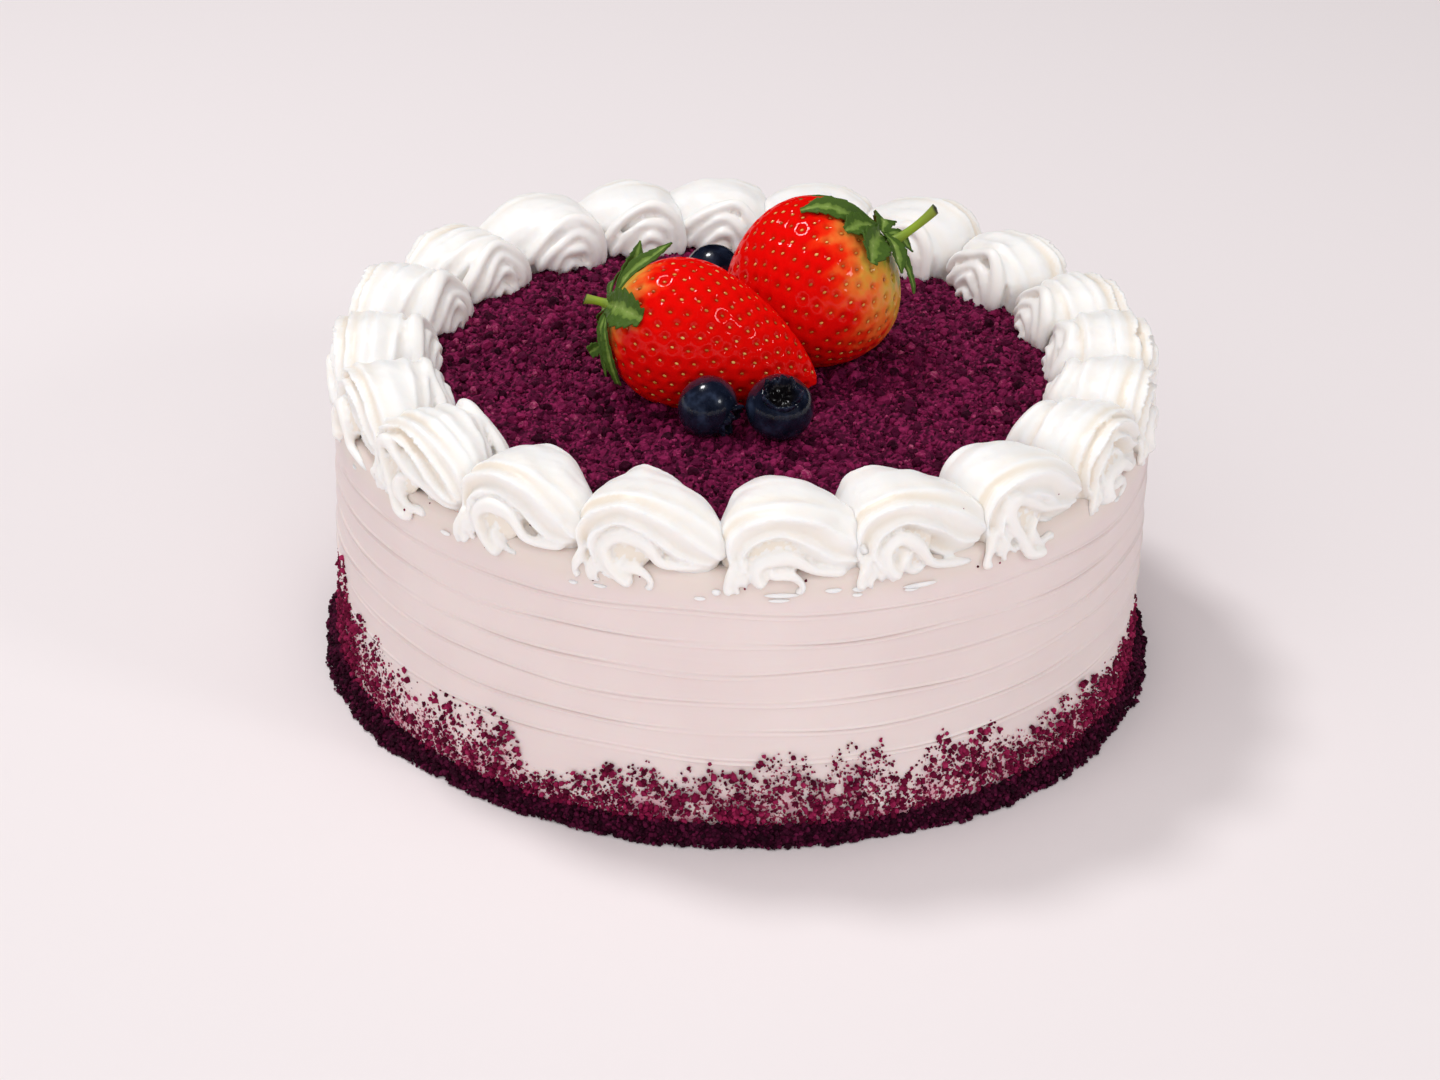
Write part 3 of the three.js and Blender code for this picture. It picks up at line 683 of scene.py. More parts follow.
def shell_surface(along, around, shell):
    turn = np.degrees(np.arcsin(np.sin(around)))
    lobe = (shell["ridge_turn"] - turn) / shell["spread"] + 0.12 * np.sin(3 * along + shell["ridge_turn"])
    fall = lobe % 1
    groove_and_painted_shade = np.where(fall < 0.72, np.sin(math.pi * fall / 1.44), np.cos(math.pi * (fall - 0.72) / 0.56))
    groove_and_painted_shade = groove_and_painted_shade * (0.78 + 0.22 * np.sin(2.4 * np.floor(lobe) + 6 * along + shell["ridge_turn"]))
    outer = np.clip((np.cos(around) + 0.1) / 0.5, 0, 1)
    inner = np.clip((-np.cos(around) - 0.1) / 0.6, 0, 1)
    depth = 0.06 * shell["ribbing"] + 0.28 * outer + 0.05 * shell["ribbing"] * inner
    depth = shell["depth"] * depth * (1 - 0.5 * np.clip((along - 0.5) / 0.5, 0, 1))
    ribbon = (lobe * 2.3 + 0.25 * np.sin(5 * along + 3 * shell["ridge_turn"])) % 1
    ribbon = np.where(
        ribbon < 0.8, np.sin(math.pi * ribbon / 1.6), np.cos(math.pi * (ribbon - 0.8) / 0.4))
    fine = 0.045 * shell["ribbing"] * ribbon * (1 - 0.75 * outer) * (1 - 0.5 * along)
    head = 1 - (1 - np.clip(along / 0.045, 0, 1)) ** 2
    tail = 1 - (1 - np.clip((1 - along) / 0.05, 0, 1)) ** 2
    closing = np.sqrt(head * tail)
    layer = 0.5 + 0.5 * closing * np.sin(around)
    stepped = along + 0.05 * groove_and_painted_shade * np.clip(1 - along / 0.15, 0, 1)
    spot = 0
    for index, path in enumerate(shell["paths"]):
        spot = spot + smooth_path(path, stepped) * layer_share(layer, layer_places, index)[:, None]
    narrowing = 0.05 * np.clip((0.4 - along) / 0.4, 0, 1) ** 2
    narrowing = narrowing + 0.55 * np.clip((along - 0.45) / 0.55, 0, 1) ** 3
    whole = shell_half_width * shell["girth"]
    half = whole * (1 - narrowing)
    middle = border_radius + shell["offset"] + outer_hold * (whole - half)
    flare = np.where(np.sin(around) < 0, 0.4, 0.9)
    side = np.sign(np.cos(around)) * np.abs(np.cos(around)) ** flare
    hollow = 0.3 * np.clip((0.42 - layer) / 0.2, 0, 1) * np.clip((0.6 - along) / 0.2, 0, 1) * outer
    radius = middle + border_lean * layer + half * closing * side * (1 - depth * groove_and_painted_shade - fine) - hollow
    place = np.radians(shell["angle"]) + spot[:, 0] * shell["girth"] / path_reach
    level = curl_height + np.where(spot[:, 1] > 0, spot[:, 1] * shell["height"], spot[:, 1])
    crest = np.clip(np.sin(around), 0, 1) ** 0.6
    crest = crest * np.clip((1 - np.sin(around)) / 0.08, shell["ribbing"] - 1, 1)
    level = level - shell["top_ribs"] * groove_and_painted_shade * crest * (1 - 0.6 * along)
    surface = np.stack([radius * np.cos(place), radius * np.sin(place), level], 1) / 1000
    # The depth of each groove goes back as the painted shade of that groove.
    return surface, groove_and_painted_shade * depth / deepest_groove


def melt_together(piece, fineness):
    painted_hollow_shade = np.empty(len(piece.data.vertices), dtype=np.float32)
    piece.data.attributes["groove_and_painted_shade"].data.foreach_get("value", painted_hollow_shade)
    spots = kdtree.KDTree(len(painted_hollow_shade))
    for index, corner in enumerate(piece.data.vertices):
        spots.insert(corner.co, index)
    spots.balance()
    melt = piece.modifiers.new("one_skin", "REMESH")
    melt.mode = "VOXEL"
    melt.voxel_size = fineness
    melt.use_smooth_shade = True
    bpy.ops.object.modifier_apply(modifier="one_skin")
    soften = piece.modifiers.new("soften", "SMOOTH")
    soften.factor = 0.5
    soften.iterations = 1
    bpy.ops.object.modifier_apply(modifier="soften")
    keep_values(piece, "groove_and_painted_shade", [painted_hollow_shade[spots.find(corner.co)[1]] for corner in piece.data.vertices])


def cream_strand(name, shell, knots, thickness, rings=40):
    strand, along, around = ball_of(name, 14, rings)
    along = 1 - along
    spot = smooth_path(knots, along)
    ahead = smooth_path(knots, along + 0.012) - smooth_path(knots, along - 0.012)
    ahead /= np.linalg.norm(ahead, axis=1, keepdims=True)
    outward = np.array([0, 1, 0]) - ahead * ahead[:, 1:2]
    outward /= np.linalg.norm(outward, axis=1, keepdims=True)
    across = np.cross(ahead, outward)
    closing = np.sqrt(np.clip(1 - (1 - np.clip(along / 0.05, 0, 1)) ** 2, 0, 1))
    closing *= np.sqrt(np.clip(1 - (1 - np.clip((1 - along) / 0.12, 0, 1)) ** 2, 0, 1))
    thick = thickness * closing * (1.05 - 0.25 * along + 0.15 * np.sin(11 * along + 9 * thickness))
    thick *= 1 + 0.1 * np.cos(3 * around + 6 * along)
    spot = spot + (outward * np.cos(around)[:, None] + across * np.sin(around)[:, None]) * thick[:, None]
    place = np.radians(shell["angle"]) + spot[:, 0] / strand_reach
    reach = spot[:, 1]
    level = curl_height + spot[:, 2]
    move_corners(strand, np.stack([reach * np.cos(place), reach * np.sin(place), level], 1) / 1000)
    # Painted shade on the strand: a little all over and more on its underside.
    keep_values(strand, "groove_and_painted_shade", 0.25 + 0.3 * np.clip(-np.sin(around), 0, 1))
    return strand


def on_the_wall(curl, nudge):
    last = len(curl) - 1
    reach = np.interp(np.arange(len(curl)), [0, 2, last - 2, last], [101, 101, 100.7, 99.2])
    return [(x + nudge[0], out, up + nudge[1]) for (x, up), out in zip(curl, reach)]


# hollow is the painted shade given to the whole blob.
def cream_blob(name, degrees, radius, level, half_wide, half_deep, half_tall, hollow=0):
    blob, along, around = ball_of(name, 14, 10)
    skin = corners_of(blob)
    turn = math.radians(degrees)
    out = radius + half_deep * skin[:, 0]
    sideways = half_wide * skin[:, 1] * (1 + 0.25 * skin[:, 2])
    shaped = np.stack([
        out * math.cos(turn) - sideways * math.sin(turn),
        out * math.sin(turn) + sideways * math.cos(turn),
        level + half_tall * skin[:, 2],
    ], 1) / 1000
    move_corners(blob, shaped)
    keep_values(blob, "groove_and_painted_shade", np.full(len(skin), hollow))
    return blob


piped_cream, tree, shader, place = finish_of("piped_cream", 0.38)
# Painted shade: warm, darker cream in the grooves, in the hollows behind the curls and under the strands.
hollow = stored(tree, "groove_and_painted_shade")
piped_cream_painted_shade = ramp(tree, hollow, [
    (0.0, (0.925, 0.915, 0.905)), (0.5, (0.92, 0.885, 0.845)), (1.0, (0.87, 0.79, 0.69))])
tree.links.new(piped_cream_painted_shade, shader.inputs["Base Color"])
shader.inputs["Subsurface Weight"].default_value = 0.7
shader.inputs["Subsurface Scale"].default_value = 0.0015
shader.inputs["Subsurface Radius"].default_value = (1, 0.9, 0.8)
shader.inputs["Specular IOR Level"].default_value = 0.4
bumped(tree, shader, texture_noise(tree, place, 700, 3), 0.08, 0.0003)

cad_draws = piping_draws(11)
draw = np.random.default_rng(71)
for number in range(shell_count):
    ribbed = number in beside
    inside_shows = number > 4
    shell = {
        "angle": first_head_angle + shell_pitch * number + shell_shift[number],
        "height": 1 + between(-0.04, 0.04, next(cad_draws)),
        "girth": between(0.95, 1.04, next(cad_draws)),
        "offset": between(-0.5, 0.5, next(cad_draws)),
        "ridge_turn": 34 + draw.uniform(-3, 3),
        "depth": draw.uniform(0.85, 1.15),
        "ribbing": 2 if ribbed else 1,
        "spread": 26 if ribbed else 36,
        "top_ribs": 1.5 if ribbed else 0.5,
    }
    jitter = draw.normal(0, 0.28, (4, 8, 2))
    jitter[3] *= 0.15
    shell["paths"] = [np.array(path) + jitter[i] for i, path in enumerate(layer_paths)]
    name = f"piped_shell_{number + 1:02d}"
    piped, along, around = ball_of(name, shell_sides, shell_rings)
    surface, groove_and_painted_shade = shell_surface(1 - along, around, shell)
    move_corners(piped, surface)
    uneven = 0.00013 * ripples(surface, 0.008, number) + 0.00003 * ripples(surface, 0.0022, number + 50)
    move_corners(piped, surface + normals_of(piped) * uneven[:, None])
    keep_values(piped, "groove_and_painted_shade", groove_and_painted_shade)
    curl = on_the_wall(curl_paths.get(number, curl_paths[1 + number % 4]), draw.normal(0, 0.25, 2))
    strands = [cream_strand("curl", shell, curl, draw.uniform(1.4, 1.65))]
    head = shell["angle"]
    # The fillings carry painted shade: deep behind the curl, lighter inside the shell.
    strands.append(cream_blob("filling", head + 0.2, 98.6, curl_height + 1.4, 6.2, 1.9, 5.6, 0.9))
    if inside_shows:
        strands.append(cream_blob("filling", head + 1.8, 78, curl_height + 4, 8, 1.9, 5.5, 0.5))
    if number in inner_curls or number % 3:
        curl = inner_curls.get(number, inner_curls[[0, 2, 3, 4][number % 4]])
        curl = on_the_wall(curl, draw.normal(0, 0.3, 2))
        strands.append(cream_strand("curl", shell, curl, draw.uniform(1.05, 1.3)))
    for x in draw.uniform(-0.8, 0.8, 3) + (-10.5, -8.2, -6):
        hang = draw.uniform(-1.6, 1.2)
        foot = [(x + 1.6, 99.8, 2), (x + 0.4, 100.6, -1.6)]
        foot += [(x - 0.5, 100.6, -4 + hang), (x + 0.5, 100.2, -5.8 + hang)]
        strands.append(cream_strand("foot", shell, foot, draw.uniform(0.8, 1.25), 20))
    arches = zip(arch_sizes, arch_paths) if inside_shows else []
    for (reach, thick), path in arches:
        arch = [
            (x, reach + draw.normal(0, 0.2) + 0.45 * max(up - 6, 0) + 0.012 * max(x, 0) ** 2, up)
            for x, up in np.array(path) + draw.normal(0, 0.4, (len(path), 2))
        ]
        strands.append(cream_strand("arch", shell, arch, thick * draw.uniform(0.9, 1.15), 32))
    join_into(piped, strands)
    melt_together(piped, skin_fineness)
    piped.data.materials.append(piped_cream)
    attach(piped, "root")
    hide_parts(f"swirl_{number + 1:02d}")


# Cream drips: beads and short strokes of cream that the nozzle left on the
# smooth band of the wall just under the border.
drip_places = [
    (-132.3, 63.9, 1.6, 0.45), (-111.8, 62.3, 1.2, 0.4), (-108.1, 62.7, 1.6, 0.4), (-95, 62.6, 1.3, 0.4),
    (-92.9, 64.4, 1.0, 0.7), (-84.6, 63.9, 3.9, 0.5), (-84.9, 62.6, 2.4, 0.35), (-77.9, 64.6, 1.9, 0.5),
    (-74.5, 64.4, 1.6, 0.55), (-74.7, 63, 1.2, 0.35), (-66.1, 63.3, 4.2, 0.5), (-67.3, 62.6, 1.8, 0.35),
    (-47.6, 63, 1.2, 0.5), (-156, 63.5, 1.4, 0.5), (-28, 63.8, 1.5, 0.45), (8, 63.6, 1.4, 0.5),
    (37, 64, 2.2, 0.45), (75, 63.4, 1.3, 0.5), (110, 64, 1.8, 0.45), (148, 63.2, 1.5, 0.5),
    (175, 64, 1.2, 0.4),
]
drips = [
    cream_blob("drip", degrees, 100.2, level, wide, 0.5, 1.15 * tall)
    for degrees, level, wide, tall in drip_places
]
cream_drips = join_into(drips[0], drips[1:])
cream_drips.name = "cream_drips"
cream_drips.data.materials.append(piped_cream)
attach(cream_drips, "root")


# Crumb specks: a few stray velvet crumbs that fell on the piped cream and the
# wall. Each lies where a line toward the middle first meets the cream.
speck_places = [
    (-43.3, 75.4), (-102.8, 66.6), (-109.1, 63.9), (-89.3, 65.4), (-81.5, 67.3), (-69.7, 65.4),
    (-53.5, 63.4), (-57.2, 64.2), (-139.6, 65.4), (-136.3, 68.5), (-124.7, 65.5), (-26.7, 18.5),
    (-60, 80), (-148, 77.5), (-31, 78), (-118, 74), (20, 74), (66, 70), (101, 77), (150, 72),
    (-170, 75), (-7, 70),
]
outside = 0.13
draw = np.random.default_rng(75)
bpy.context.view_layer.update()
seen = bpy.context.evaluated_depsgraph_get()
speck_spots = []
for degrees, level in speck_places:
    turn = math.radians(degrees)
    away = Vector((math.cos(turn), math.sin(turn), 0))
    start = away * outside + Vector((0, 0, level / 1000))
    hit, spot = bpy.context.scene.ray_cast(seen, start, -away)[:2]
    if hit:
        speck_spots.append(spot)
size = grain_sizes(draw, len(speck_spots), 0.0004, 0.0004)
specks = uneven_grains("cream_specks", speck_spots, size, 76)
specks.data.materials.append(wall_crumb)
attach(specks, "root")


# Strawberries: two ripe berries laid side by side on the crumb, pointing opposite
# ways. The skin is glossy with a golden seed in each dimple, red all over but
# for an unripe shoulder under the green cap. Each dimple is painted a darker red
# as painted shade, and the tip is painted a paler orange as painted light.
strawberries = {
    "strawberry_front": {
        "calyx": (-32, -13, 95), "tip": (17.6, -16.6, 77.8), "radius": 18.6, "flatness": 0.86,
        "shoulder": 0.36, "taper": 1.45, "seeds": 330, "unripe": 0.125, "unripe_side": -0.35,
        "stalk": (7, 1.2, (0, -0.15)),
        "leaves": [
            ([(-31, -11.5, 96.5), (-28.6, -7.9, 101.4), (-26.8, -5.1, 104.5), (-25.9, -2.9, 107.7)],
             (0.2, -0.9, 0.4), 2.1, 0.4, 0.1),
            ([(-31.6, -12, 97), (-27.2, -9.6, 103), (-22.4, -7.5, 106), (-18.2, -3, 107.2)],
             (-0.3, -0.5, 0.8), 2.1, 0.5, 0.1),
            ([(-33, -13.5, 95.4), (-30.8, -20, 97.7), (-27.6, -24.4, 98.4), (-24.6, -26.6, 97.8)],
             (-0.5, -0.75, 0.45), 5.2, 0.52, 0.5),
            ([(-32.6, -14.5, 94), (-33.2, -19.5, 90.5), (-32.2, -21, 84.5), (-29.8, -20, 77.6)],
             (-0.75, -0.65, 0), 2.1, 0.6, 0.6),
            ([(-33, -14, 94.2), (-34.4, -16.5, 90), (-33.8, -18.2, 84.8), (-33, -19, 79)],
             (-0.6, -0.8, 0), 1.4, 0.4, 0.1),
            ([(-31.5, -14.5, 88.5), (-34.4, -16, 86), (-37.3, -17, 84.2)],
             (0.2, -0.95, 0.2), 1.9, 0.8, 0.95),
            ([(-32.6, -11, 95.5), (-31.6, -4, 97.5), (-28.6, 1, 97), (-25, 4, 95)],
             (-0.5, 0.7, 0.5), 2.8, 0.5, 0.2),
            ([(-33, -12, 94), (-34.8, -7, 91), (-33.6, -3, 86), (-31.5, -1, 81)],
             (-0.85, 0.5, 0), 2.4, 0.5, 0.2),
        ],
    },
    "strawberry_back": {
        "calyx": (34.4, 12, 102.3), "tip": (-4.6, 9.6, 78.6), "radius": 22, "flatness": 0.93,
        "shoulder": 0.42, "taper": 1.9, "seeds": 360, "unripe": 0.33, "unripe_side": 2.36,
        "stalk": (15, 1.2, (0, 0.16)),
        "leaves": [
            ([(31.6, 9, 107), (25.6, 6.6, 111.8), (18.6, 6.4, 114), (12.6, 5.6, 113.2)],
             (0.15, -0.55, 0.8), 3.0, 0.5, 0.3),
            ([(31, 11.5, 107.5), (25, 12, 111.8), (18.9, 15, 112.4), (11.6, 15.5, 112)],
             (0.2, 0.1, 0.95), 2.1, 0.5, 0.1),
            ([(32.5, 9.5, 106.5), (30.9, 2.4, 107), (29.8, -3.6, 104)], (0.6, -0.55, 0.6), 4.8, 0.6, 0.4),
            ([(32, 9.5, 107), (27.4, 4.6, 110.6), (23.4, 0.4, 110.4)],
             (0.45, -0.4, 0.8), 3.5, 0.62, 0.35),
            ([(33.4, 10.4, 106), (36.2, 6.5, 103), (37.6, 3, 98.6)], (0.8, -0.5, 0.35), 3.4, 0.5, 0.2),
            ([(35, 11, 104.5), (38.4, 8.2, 100.4), (40, 6, 96.6), (41, 4.5, 92.6)],
             (0.75, -0.6, 0.2), 1.5, 0.5, 0.1),
            ([(33.6, 13, 105), (36.4, 14, 104.2), (38.8, 14.4, 102), (40.8, 14.4, 99.6)],
             (0.5, -0.3, 0.8), 1.9, 0.45, 0.1),
            ([(33, 13, 105.5), (33.5, 20, 105.5), (32, 25.5, 102)], (0.4, 0.6, 0.7), 3.2, 0.5, 0.25),
        ],
    },
}


def berry_radius(share, berry):
    share = np.clip(share, 0, 1)
    rising = np.sqrt(np.clip(1 - np.abs(1 - share / berry["shoulder"]) ** 2.2, 0, 1))
    beyond = np.clip((share - berry["shoulder"]) / (1 - berry["shoulder"]), 0, 1)
    falling = np.clip(1 - beyond ** berry["taper"], 0, 1) ** 0.72
    return berry["radius"] * np.where(share < berry["shoulder"], rising, falling)


def berry_lump(angle, share):
    return 1 + 0.025 * np.sin(2 * angle + 1) + 0.015 * np.sin(3 * angle + 4 * share)


def berry_frame(berry):
    calyx = Vector(berry["calyx"])
    along = Vector(berry["tip"]) - calyx
    length = along.length
    along.normalize()
    upright = (Vector((0, 0, 1)) - along * along.z).normalized()
    side = upright.cross(along)
    return np.array([side, upright, along]), np.array(calyx), length


def berry_places(local, berry):
    axes, calyx, _ = berry_frame(berry)
    local = np.array(local) * (berry["flatness"], 1, 1)
    return (local @ axes + calyx) / 1000


def strawberry_skin_finish(name):
    made, tree, shader, place = finish_of(name, 0.4)
    streaks = texture_noise(tree, place, 260, 3)
    streaked = maths(tree, "MULTIPLY", maths(tree, "SUBTRACT", streaks, 0.5), 0.6)
    # Ripeness with streaks; the paler orange at the tip in it is painted light.
    ripeness_and_tip_light = maths(tree, "ADD", stored(tree, "ripeness_and_tip_light"), streaked)
    red = ramp(tree, ripeness_and_tip_light, [
        (0.0, (0.32, 0.32, 0.04)), (0.17, (0.66, 0.34, 0.05)), (0.38, (0.84, 0.17, 0.03)),
        (0.66, (0.84, 0.026, 0.005)), (0.88, (0.77, 0.003, 0.002))])
    # Painted shade: the dimple round each seed is painted a darker red.
    pit_shaded_red = blend(tree, maths(tree, "MULTIPLY", stored(tree, "pit_painted_shade"), 0.7), red, (0.4, 0.012, 0.003))
    tree.links.new(pit_shaded_red, shader.inputs["Base Color"])
    shader.inputs["Subsurface Weight"].default_value = 0.08
    shader.inputs["Subsurface Scale"].default_value = 0.004
    shader.inputs["Specular IOR Level"].default_value = 0
    shader.inputs["Coat Weight"].default_value = 0.4
    shader.inputs["Coat Roughness"].default_value = 0.04
    bumped(tree, shader, texture_noise(tree, place, 1500, 2), 0.12, 0.0002)
    return made


pip_size = (0.00031, 0.0005, 0.0002)
pip_depth = 0.0004
golden_turn = 2.39996
seed_finish, tree, shader, place = finish_of("strawberry_seed", 0.3)
shader.inputs["Coat Weight"].default_value = 0.8
shader.inputs["Coat Roughness"].default_value = 0.05
seed_gold = ramp(tree, stored(tree, "tone"), [
    (0.1, (0.42, 0.12, 0.015)), (0.6, (0.7, 0.32, 0.05)), (1, (0.85, 0.55, 0.16))])
tree.links.new(seed_gold, shader.inputs["Base Color"])

for name, berry in strawberries.items():
    axes, _, length = berry_frame(berry)
    flesh, along, around = ball_of(f"{name}_flesh", 168, 124)
    share = 0.5 - 0.5 * np.cos(math.pi * along)
    radius = berry_radius(share, berry) * berry_lump(around, share)
    local = np.stack([radius * np.cos(around), radius * np.sin(around), length * share], 1)
    move_corners(flesh, berry_places(local, berry))
    share_steps = np.linspace(0.02, 0.985, 400)
    area = np.cumsum(berry_radius(share_steps, berry) + 2)
    count = berry["seeds"]
    seed_share = np.interp((np.arange(count) + 0.5) / count * area[-1], area, share_steps)
    seed_around = np.arange(count) * golden_turn + np.random.default_rng(80).normal(0, 0.02, count)
    seed_radius = berry_radius(seed_share, berry) * berry_lump(seed_around, seed_share)
    local = np.stack([
        seed_radius * np.cos(seed_around), seed_radius * np.sin(seed_around), length * seed_share], 1)
    seeds = berry_places(local, berry)
    skin = corners_of(flesh)
    outward = normals_of(flesh)
    away = np.full(len(skin), 1.0)
    for seed in seeds:
        away = np.minimum(away, np.linalg.norm(skin - seed, axis=1))
    dimple = 0.0007 * np.exp(-(away / 0.0009) ** 2)
    dimple -= 0.00012 * np.exp(-((away - 0.0016) / 0.0005) ** 2)
    move_corners(flesh, skin - outward * dimple[:, None])
    # Painted shade in the dimple round each seed.
    keep_values(flesh, "pit_painted_shade", np.exp(-(away / 0.0008) ** 2))
    edge = 1 + 0.5 * np.sin(around + berry["unripe_side"]) + 0.2 * np.sin(9 * around)
    edge = edge + 0.14 * np.sin(17 * around + 1) + 0.1 * np.sin(31 * around + 2)
    edge = berry["unripe"] * edge
    ripeness_and_tip_light = np.clip(share / np.maximum(edge, 0.02), 0, 1.35)
    # Ripeness, and painted light: the tip is painted a paler orange where light falls on it.
    keep_values(flesh, "ripeness_and_tip_light", ripeness_and_tip_light - 0.42 * np.clip((share - 0.9) / 0.1, 0, 1))
    flesh.data.materials.append(strawberry_skin_finish(f"{name}_skin"))
    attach(flesh, "root")
    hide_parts(name)

    deselect_all()
    bpy.ops.mesh.primitive_uv_sphere_add(segments=6, ring_count=5, radius=1)
    pip = bpy.context.object
    pip_shape = corners_of(pip) * pip_size
    pip_faces = [list(face.vertices) for face in pip.data.polygons]
    bpy.data.objects.remove(pip)
    closest = [int(np.argmin(np.linalg.norm(skin - seed, axis=1))) for seed in seeds]
    pips, faces, tones = [], [], []
    draw = np.random.default_rng(81)
    for index, seed in enumerate(seeds):
        normal = Vector(outward[closest[index]])
        tipward = Vector(axes[2]) - normal * normal.dot(Vector(axes[2]))
        tipward = tipward.normalized() if tipward.length > 0.01 else Vector(axes[0])
        basis = np.array([tipward.cross(normal), tipward, normal])
        shaped = pip_shape * draw.uniform(0.85, 1.15) @ basis
        pips.append(shaped + seed - np.array(normal) * pip_depth)
        faces += [[corner + index * len(pip_shape) for corner in face] for face in pip_faces]
        tones += [draw.uniform(0, 1)] * len(pip_shape)
    pip_mesh = bpy.data.meshes.new(f"{name}_seeds")
    pip_mesh.from_pydata(np.concatenate(pips), [], faces)
    seeds_piece = bpy.data.objects.new(f"{name}_seeds", pip_mesh)
    bpy.context.collection.objects.link(seeds_piece)
    keep_values(seeds_piece, "tone", tones)
    for face in pip_mesh.polygons:
        face.use_smooth = True
    pip_mesh.materials.append(seed_finish)
    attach(seeds_piece, "root")


# Strawberry caps: a green stalk and a star of thin pointed leaves that drape
# over the shoulder of each berry, with toothed edges and a fold at the midrib.
leaf_thickness = 0.00035


def leaf_piece(name, leaf):
    midrib, facing, half_width, fullest, bluntness = leaf
    deselect_all()
    bpy.ops.mesh.primitive_grid_add(x_subdivisions=12, y_subdivisions=44, size=2)
    blade = bpy.context.object
    blade.name = name
    flat = corners_of(blade)
    sideways = flat[:, 0]
    step = (flat[:, 1] + 1) / 2
    rib = smooth_path(midrib, step)
    ahead = smooth_path(midrib, np.minimum(step + 0.03, 1))
    ahead = ahead - smooth_path(midrib, np.maximum(step - 0.03, 0))
    ahead /= np.linalg.norm(ahead, axis=1, keepdims=True)
    across = np.cross(ahead, np.array(facing))
    across /= np.linalg.norm(across, axis=1, keepdims=True)
    above = np.cross(across, ahead)
    swell = np.sin(math.pi * step ** (math.log(0.5) / math.log(fullest))) ** 0.75
    swell = np.maximum(swell, np.where(step < fullest, 0.45, bluntness))
    teeth = 1 - 0.2 * ((step * 6.5 + 0.15 * np.sign(sideways)) % 1) * (step > 0.2)
    width = half_width * swell * teeth
    lift = 0.3 * half_width * np.abs(sideways) ** 1.4 * swell
    lift += 0.25 * np.sin(8 * step + 9 * half_width + sideways)
    lift -= 0.12 * np.exp(-(sideways / 0.12) ** 2)
    spot = rib + across * (sideways * width)[:, None] + above * lift[:, None]
    move_corners(blade, spot / 1000)
    keep_values(blade, "rib", np.abs(sideways))
    bpy.ops.object.shade_smooth()
    thick = blade.modifiers.new("leaf_thickness", "SOLIDIFY")
    thick.thickness = leaf_thickness
    thick.offset = 0
    bpy.ops.object.modifier_apply(modifier="leaf_thickness")
    return blade


def stalk_piece(name, berry):
    tall, thick, lean = berry["stalk"]
    stalk, along, around = ball_of(name, 24, 40)
    share = 1 - along
    closing = np.sqrt(1 - (1 - np.clip(share / 0.03, 0, 1)) ** 2)
    closing *= np.sqrt(1 - (1 - np.clip((1 - share) / 0.02, 0, 1)) ** 2)
    radius = thick * (1.15 - 0.3 * np.sin(math.pi * share) + 1.5 * np.exp(-share / 0.07)) * closing
    radius = radius * (1 + 0.06 * np.sin(3 * around))
    local = np.stack([
        lean[0] * tall * share ** 2 + radius * np.cos(around),
        lean[1] * tall * share ** 2 + radius * np.sin(around),
        -tall * share,
    ], 1)
    move_corners(stalk, berry_places(local, berry))
    keep_values(stalk, "tipward", share)
    return stalk


leaf_green, tree, shader, place = finish_of("leaf_green", 0.5)
mottle = maths(tree, "MULTIPLY", texture_noise(tree, place, 380, 5), 1.15)
leaf_tone = ramp(tree, maths(tree, "ADD", stored(tree, "rib"), mottle), [
    (0.4, (0.38, 0.45, 0.16)), (0.56, (0.22, 0.33, 0.07)), (0.88, (0.14, 0.23, 0.035)),
    (1, (0.06, 0.12, 0.015))])
tree.links.new(leaf_tone, shader.inputs["Base Color"])
shader.inputs["Specular IOR Level"].default_value = 0.2
bumped(tree, shader, texture_noise(tree, place, 900, 4), 0.7, 0.0004)
stalk_green, tree, shader, place = finish_of("stalk_green", 0.45)
stalk_tone = ramp(tree, stored(tree, "tipward"), [
    (0.0, (0.2, 0.3, 0.04)), (0.5, (0.29, 0.42, 0.025)), (0.93, (0.25, 0.32, 0.04)),
    (0.97, (0.03, 0.03, 0.01))])
tree.links.new(stalk_tone, shader.inputs["Base Color"])
bumped(tree, shader, texture_noise(tree, place, 600, 2, (1, 1, 0.3)), 0.3, 0.0003)
for name, berry in strawberries.items():
    blades = [leaf_piece(f"{name}_leaf_{i + 1}", leaf) for i, leaf in enumerate(berry["leaves"])]
    leaves = join_into(blades[0], blades[1:])
    leaves.name = f"{name}_leaves"
    leaves.data.materials.append(leaf_green)
    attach(leaves, "root")
    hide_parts(f"{name}_cap")
    stalk = stalk_piece(f"{name}_stalk", berry)
    stalk.data.materials.append(stalk_green)
    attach(stalk, "root")


# Blueberries: three dark berries with a pale waxy bloom and a starry five-lobed
# crown round a deep dip, sunk a little in the crumb.
crumb_surface = 72.45
centre_above = 0.95
blueberries = {
    "blueberry_right": ((8.6, -36.2), 8.1, (0.05, -0.6, 0.79)),
    "blueberry_left": ((-8.4, -35.6), 7.5, (0.86, -0.35, -0.36)),
    "blueberry_back": ((-8.3, 43.8), 7.6, (0.4, 0.75, -0.5)),
}
berry_outline = [(math.cos(a), 0.93 * math.sin(a)) for a in np.radians(np.linspace(-90, 60, 26))]
crown_outline = [
    (0.56, 0.78), (0.54, 0.85), (0.53, 0.92), (0.515, 0.98), (0.485, 1.0), (0.45, 0.97), (0.425, 0.9),
    (0.39, 0.78), (0.32, 0.66), (0.2, 0.6), (0.1, 0.59), (0, 0.59),
]
outline = np.array(berry_outline + crown_outline)
blue_skin, tree, shader, place = finish_of("blueberry_skin", 0.3)
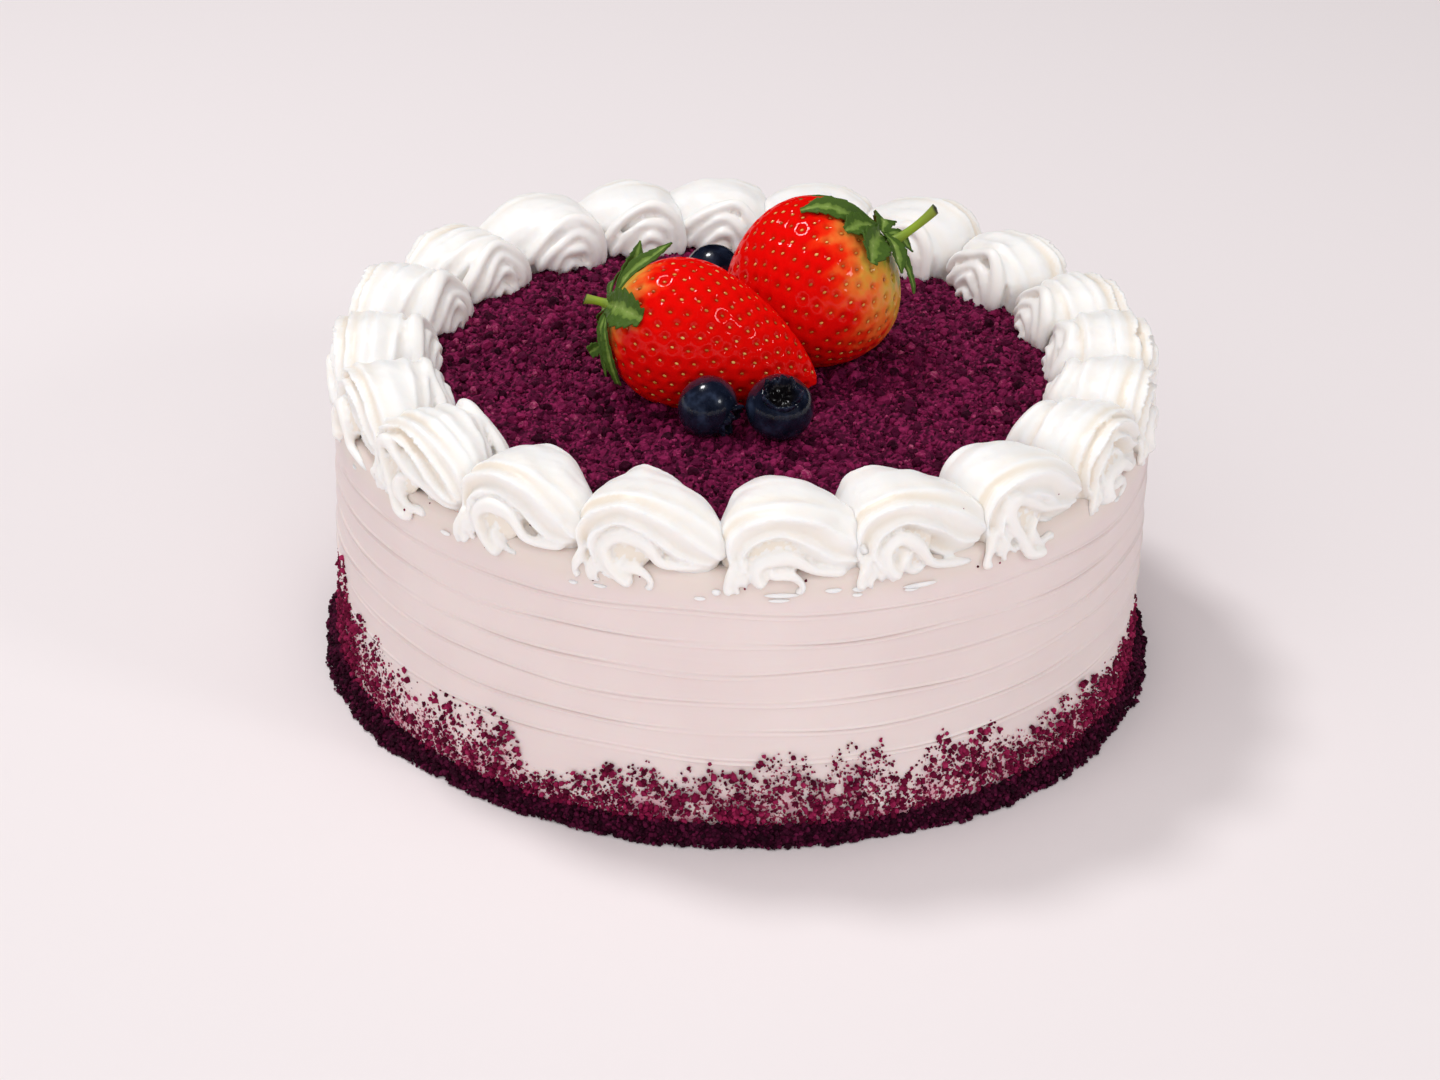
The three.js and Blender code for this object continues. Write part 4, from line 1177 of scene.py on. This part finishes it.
bloom = texture_noise(tree, place, 260, 4)
bloom_colour = ramp(tree, bloom, [
    (0.3, (0.003, 0.004, 0.01)), (0.55, (0.008, 0.012, 0.027)), (0.75, (0.03, 0.046, 0.09))])
blue_skin_colour = blend(tree, stored(tree, "crown"), bloom_colour, (0.004, 0.003, 0.004))
tree.links.new(blue_skin_colour, shader.inputs["Base Color"])
shader.inputs["Specular IOR Level"].default_value = 0.2
shader.inputs["Coat Weight"].default_value = 0.5
shader.inputs["Coat Roughness"].default_value = 0.06
bloom_roughness = ramp(tree, bloom, [(0.3, (0.14, 0.14, 0.14)), (0.75, (0.42, 0.42, 0.42))])
tree.links.new(bloom_roughness, shader.inputs["Roughness"])
bumped(tree, shader, texture_noise(tree, place, 1200, 3), 0.2, 0.0002)
for name, (spot, radius, crown) in blueberries.items():
    blue, along, around = ball_of(f"{name}_skin", 100, len(outline) - 1)
    step = np.clip(np.round(along * (len(outline) - 1)).astype(int), 0, len(outline) - 1)
    lobed = np.interp(step, [25, 28, 31, 34], [0, 1, 1, 0])
    notch = np.abs(np.cos(2.5 * around)) ** 0.7
    ragged = 0.03 * np.sin(7 * around + 2) + 0.02 * np.sin(13 * around) + 0.015 * np.sin(23 * around + 1)
    width = outline[step, 0] + lobed * (0.12 * (notch - 0.5) + ragged)
    level = outline[step, 1] - lobed * (0.2 * (1 - notch) - ragged)
    inside_crown = np.isin(step, range(32, 37))
    level = level + 0.05 * inside_crown * np.sin(5 * around + 2.1 * step) * np.sin(11 * around + step)
    width = np.where(np.isin(step, [0, len(outline) - 1]), 0, width)
    local = radius * np.stack([width * np.cos(around), width * np.sin(around), level], 1)
    turn = Vector((0, 0, 1)).rotation_difference(Vector(crown)).to_matrix()
    centre = np.array([spot[0], spot[1], crumb_surface + centre_above * radius])
    move_corners(blue, (local @ np.array(turn).T + centre) / 1000)
    keep_values(blue, "crown", np.clip((step - 30) / 4, 0, 1))
    blue.data.materials.append(blue_skin)
    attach(blue, "root")
    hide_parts(name)
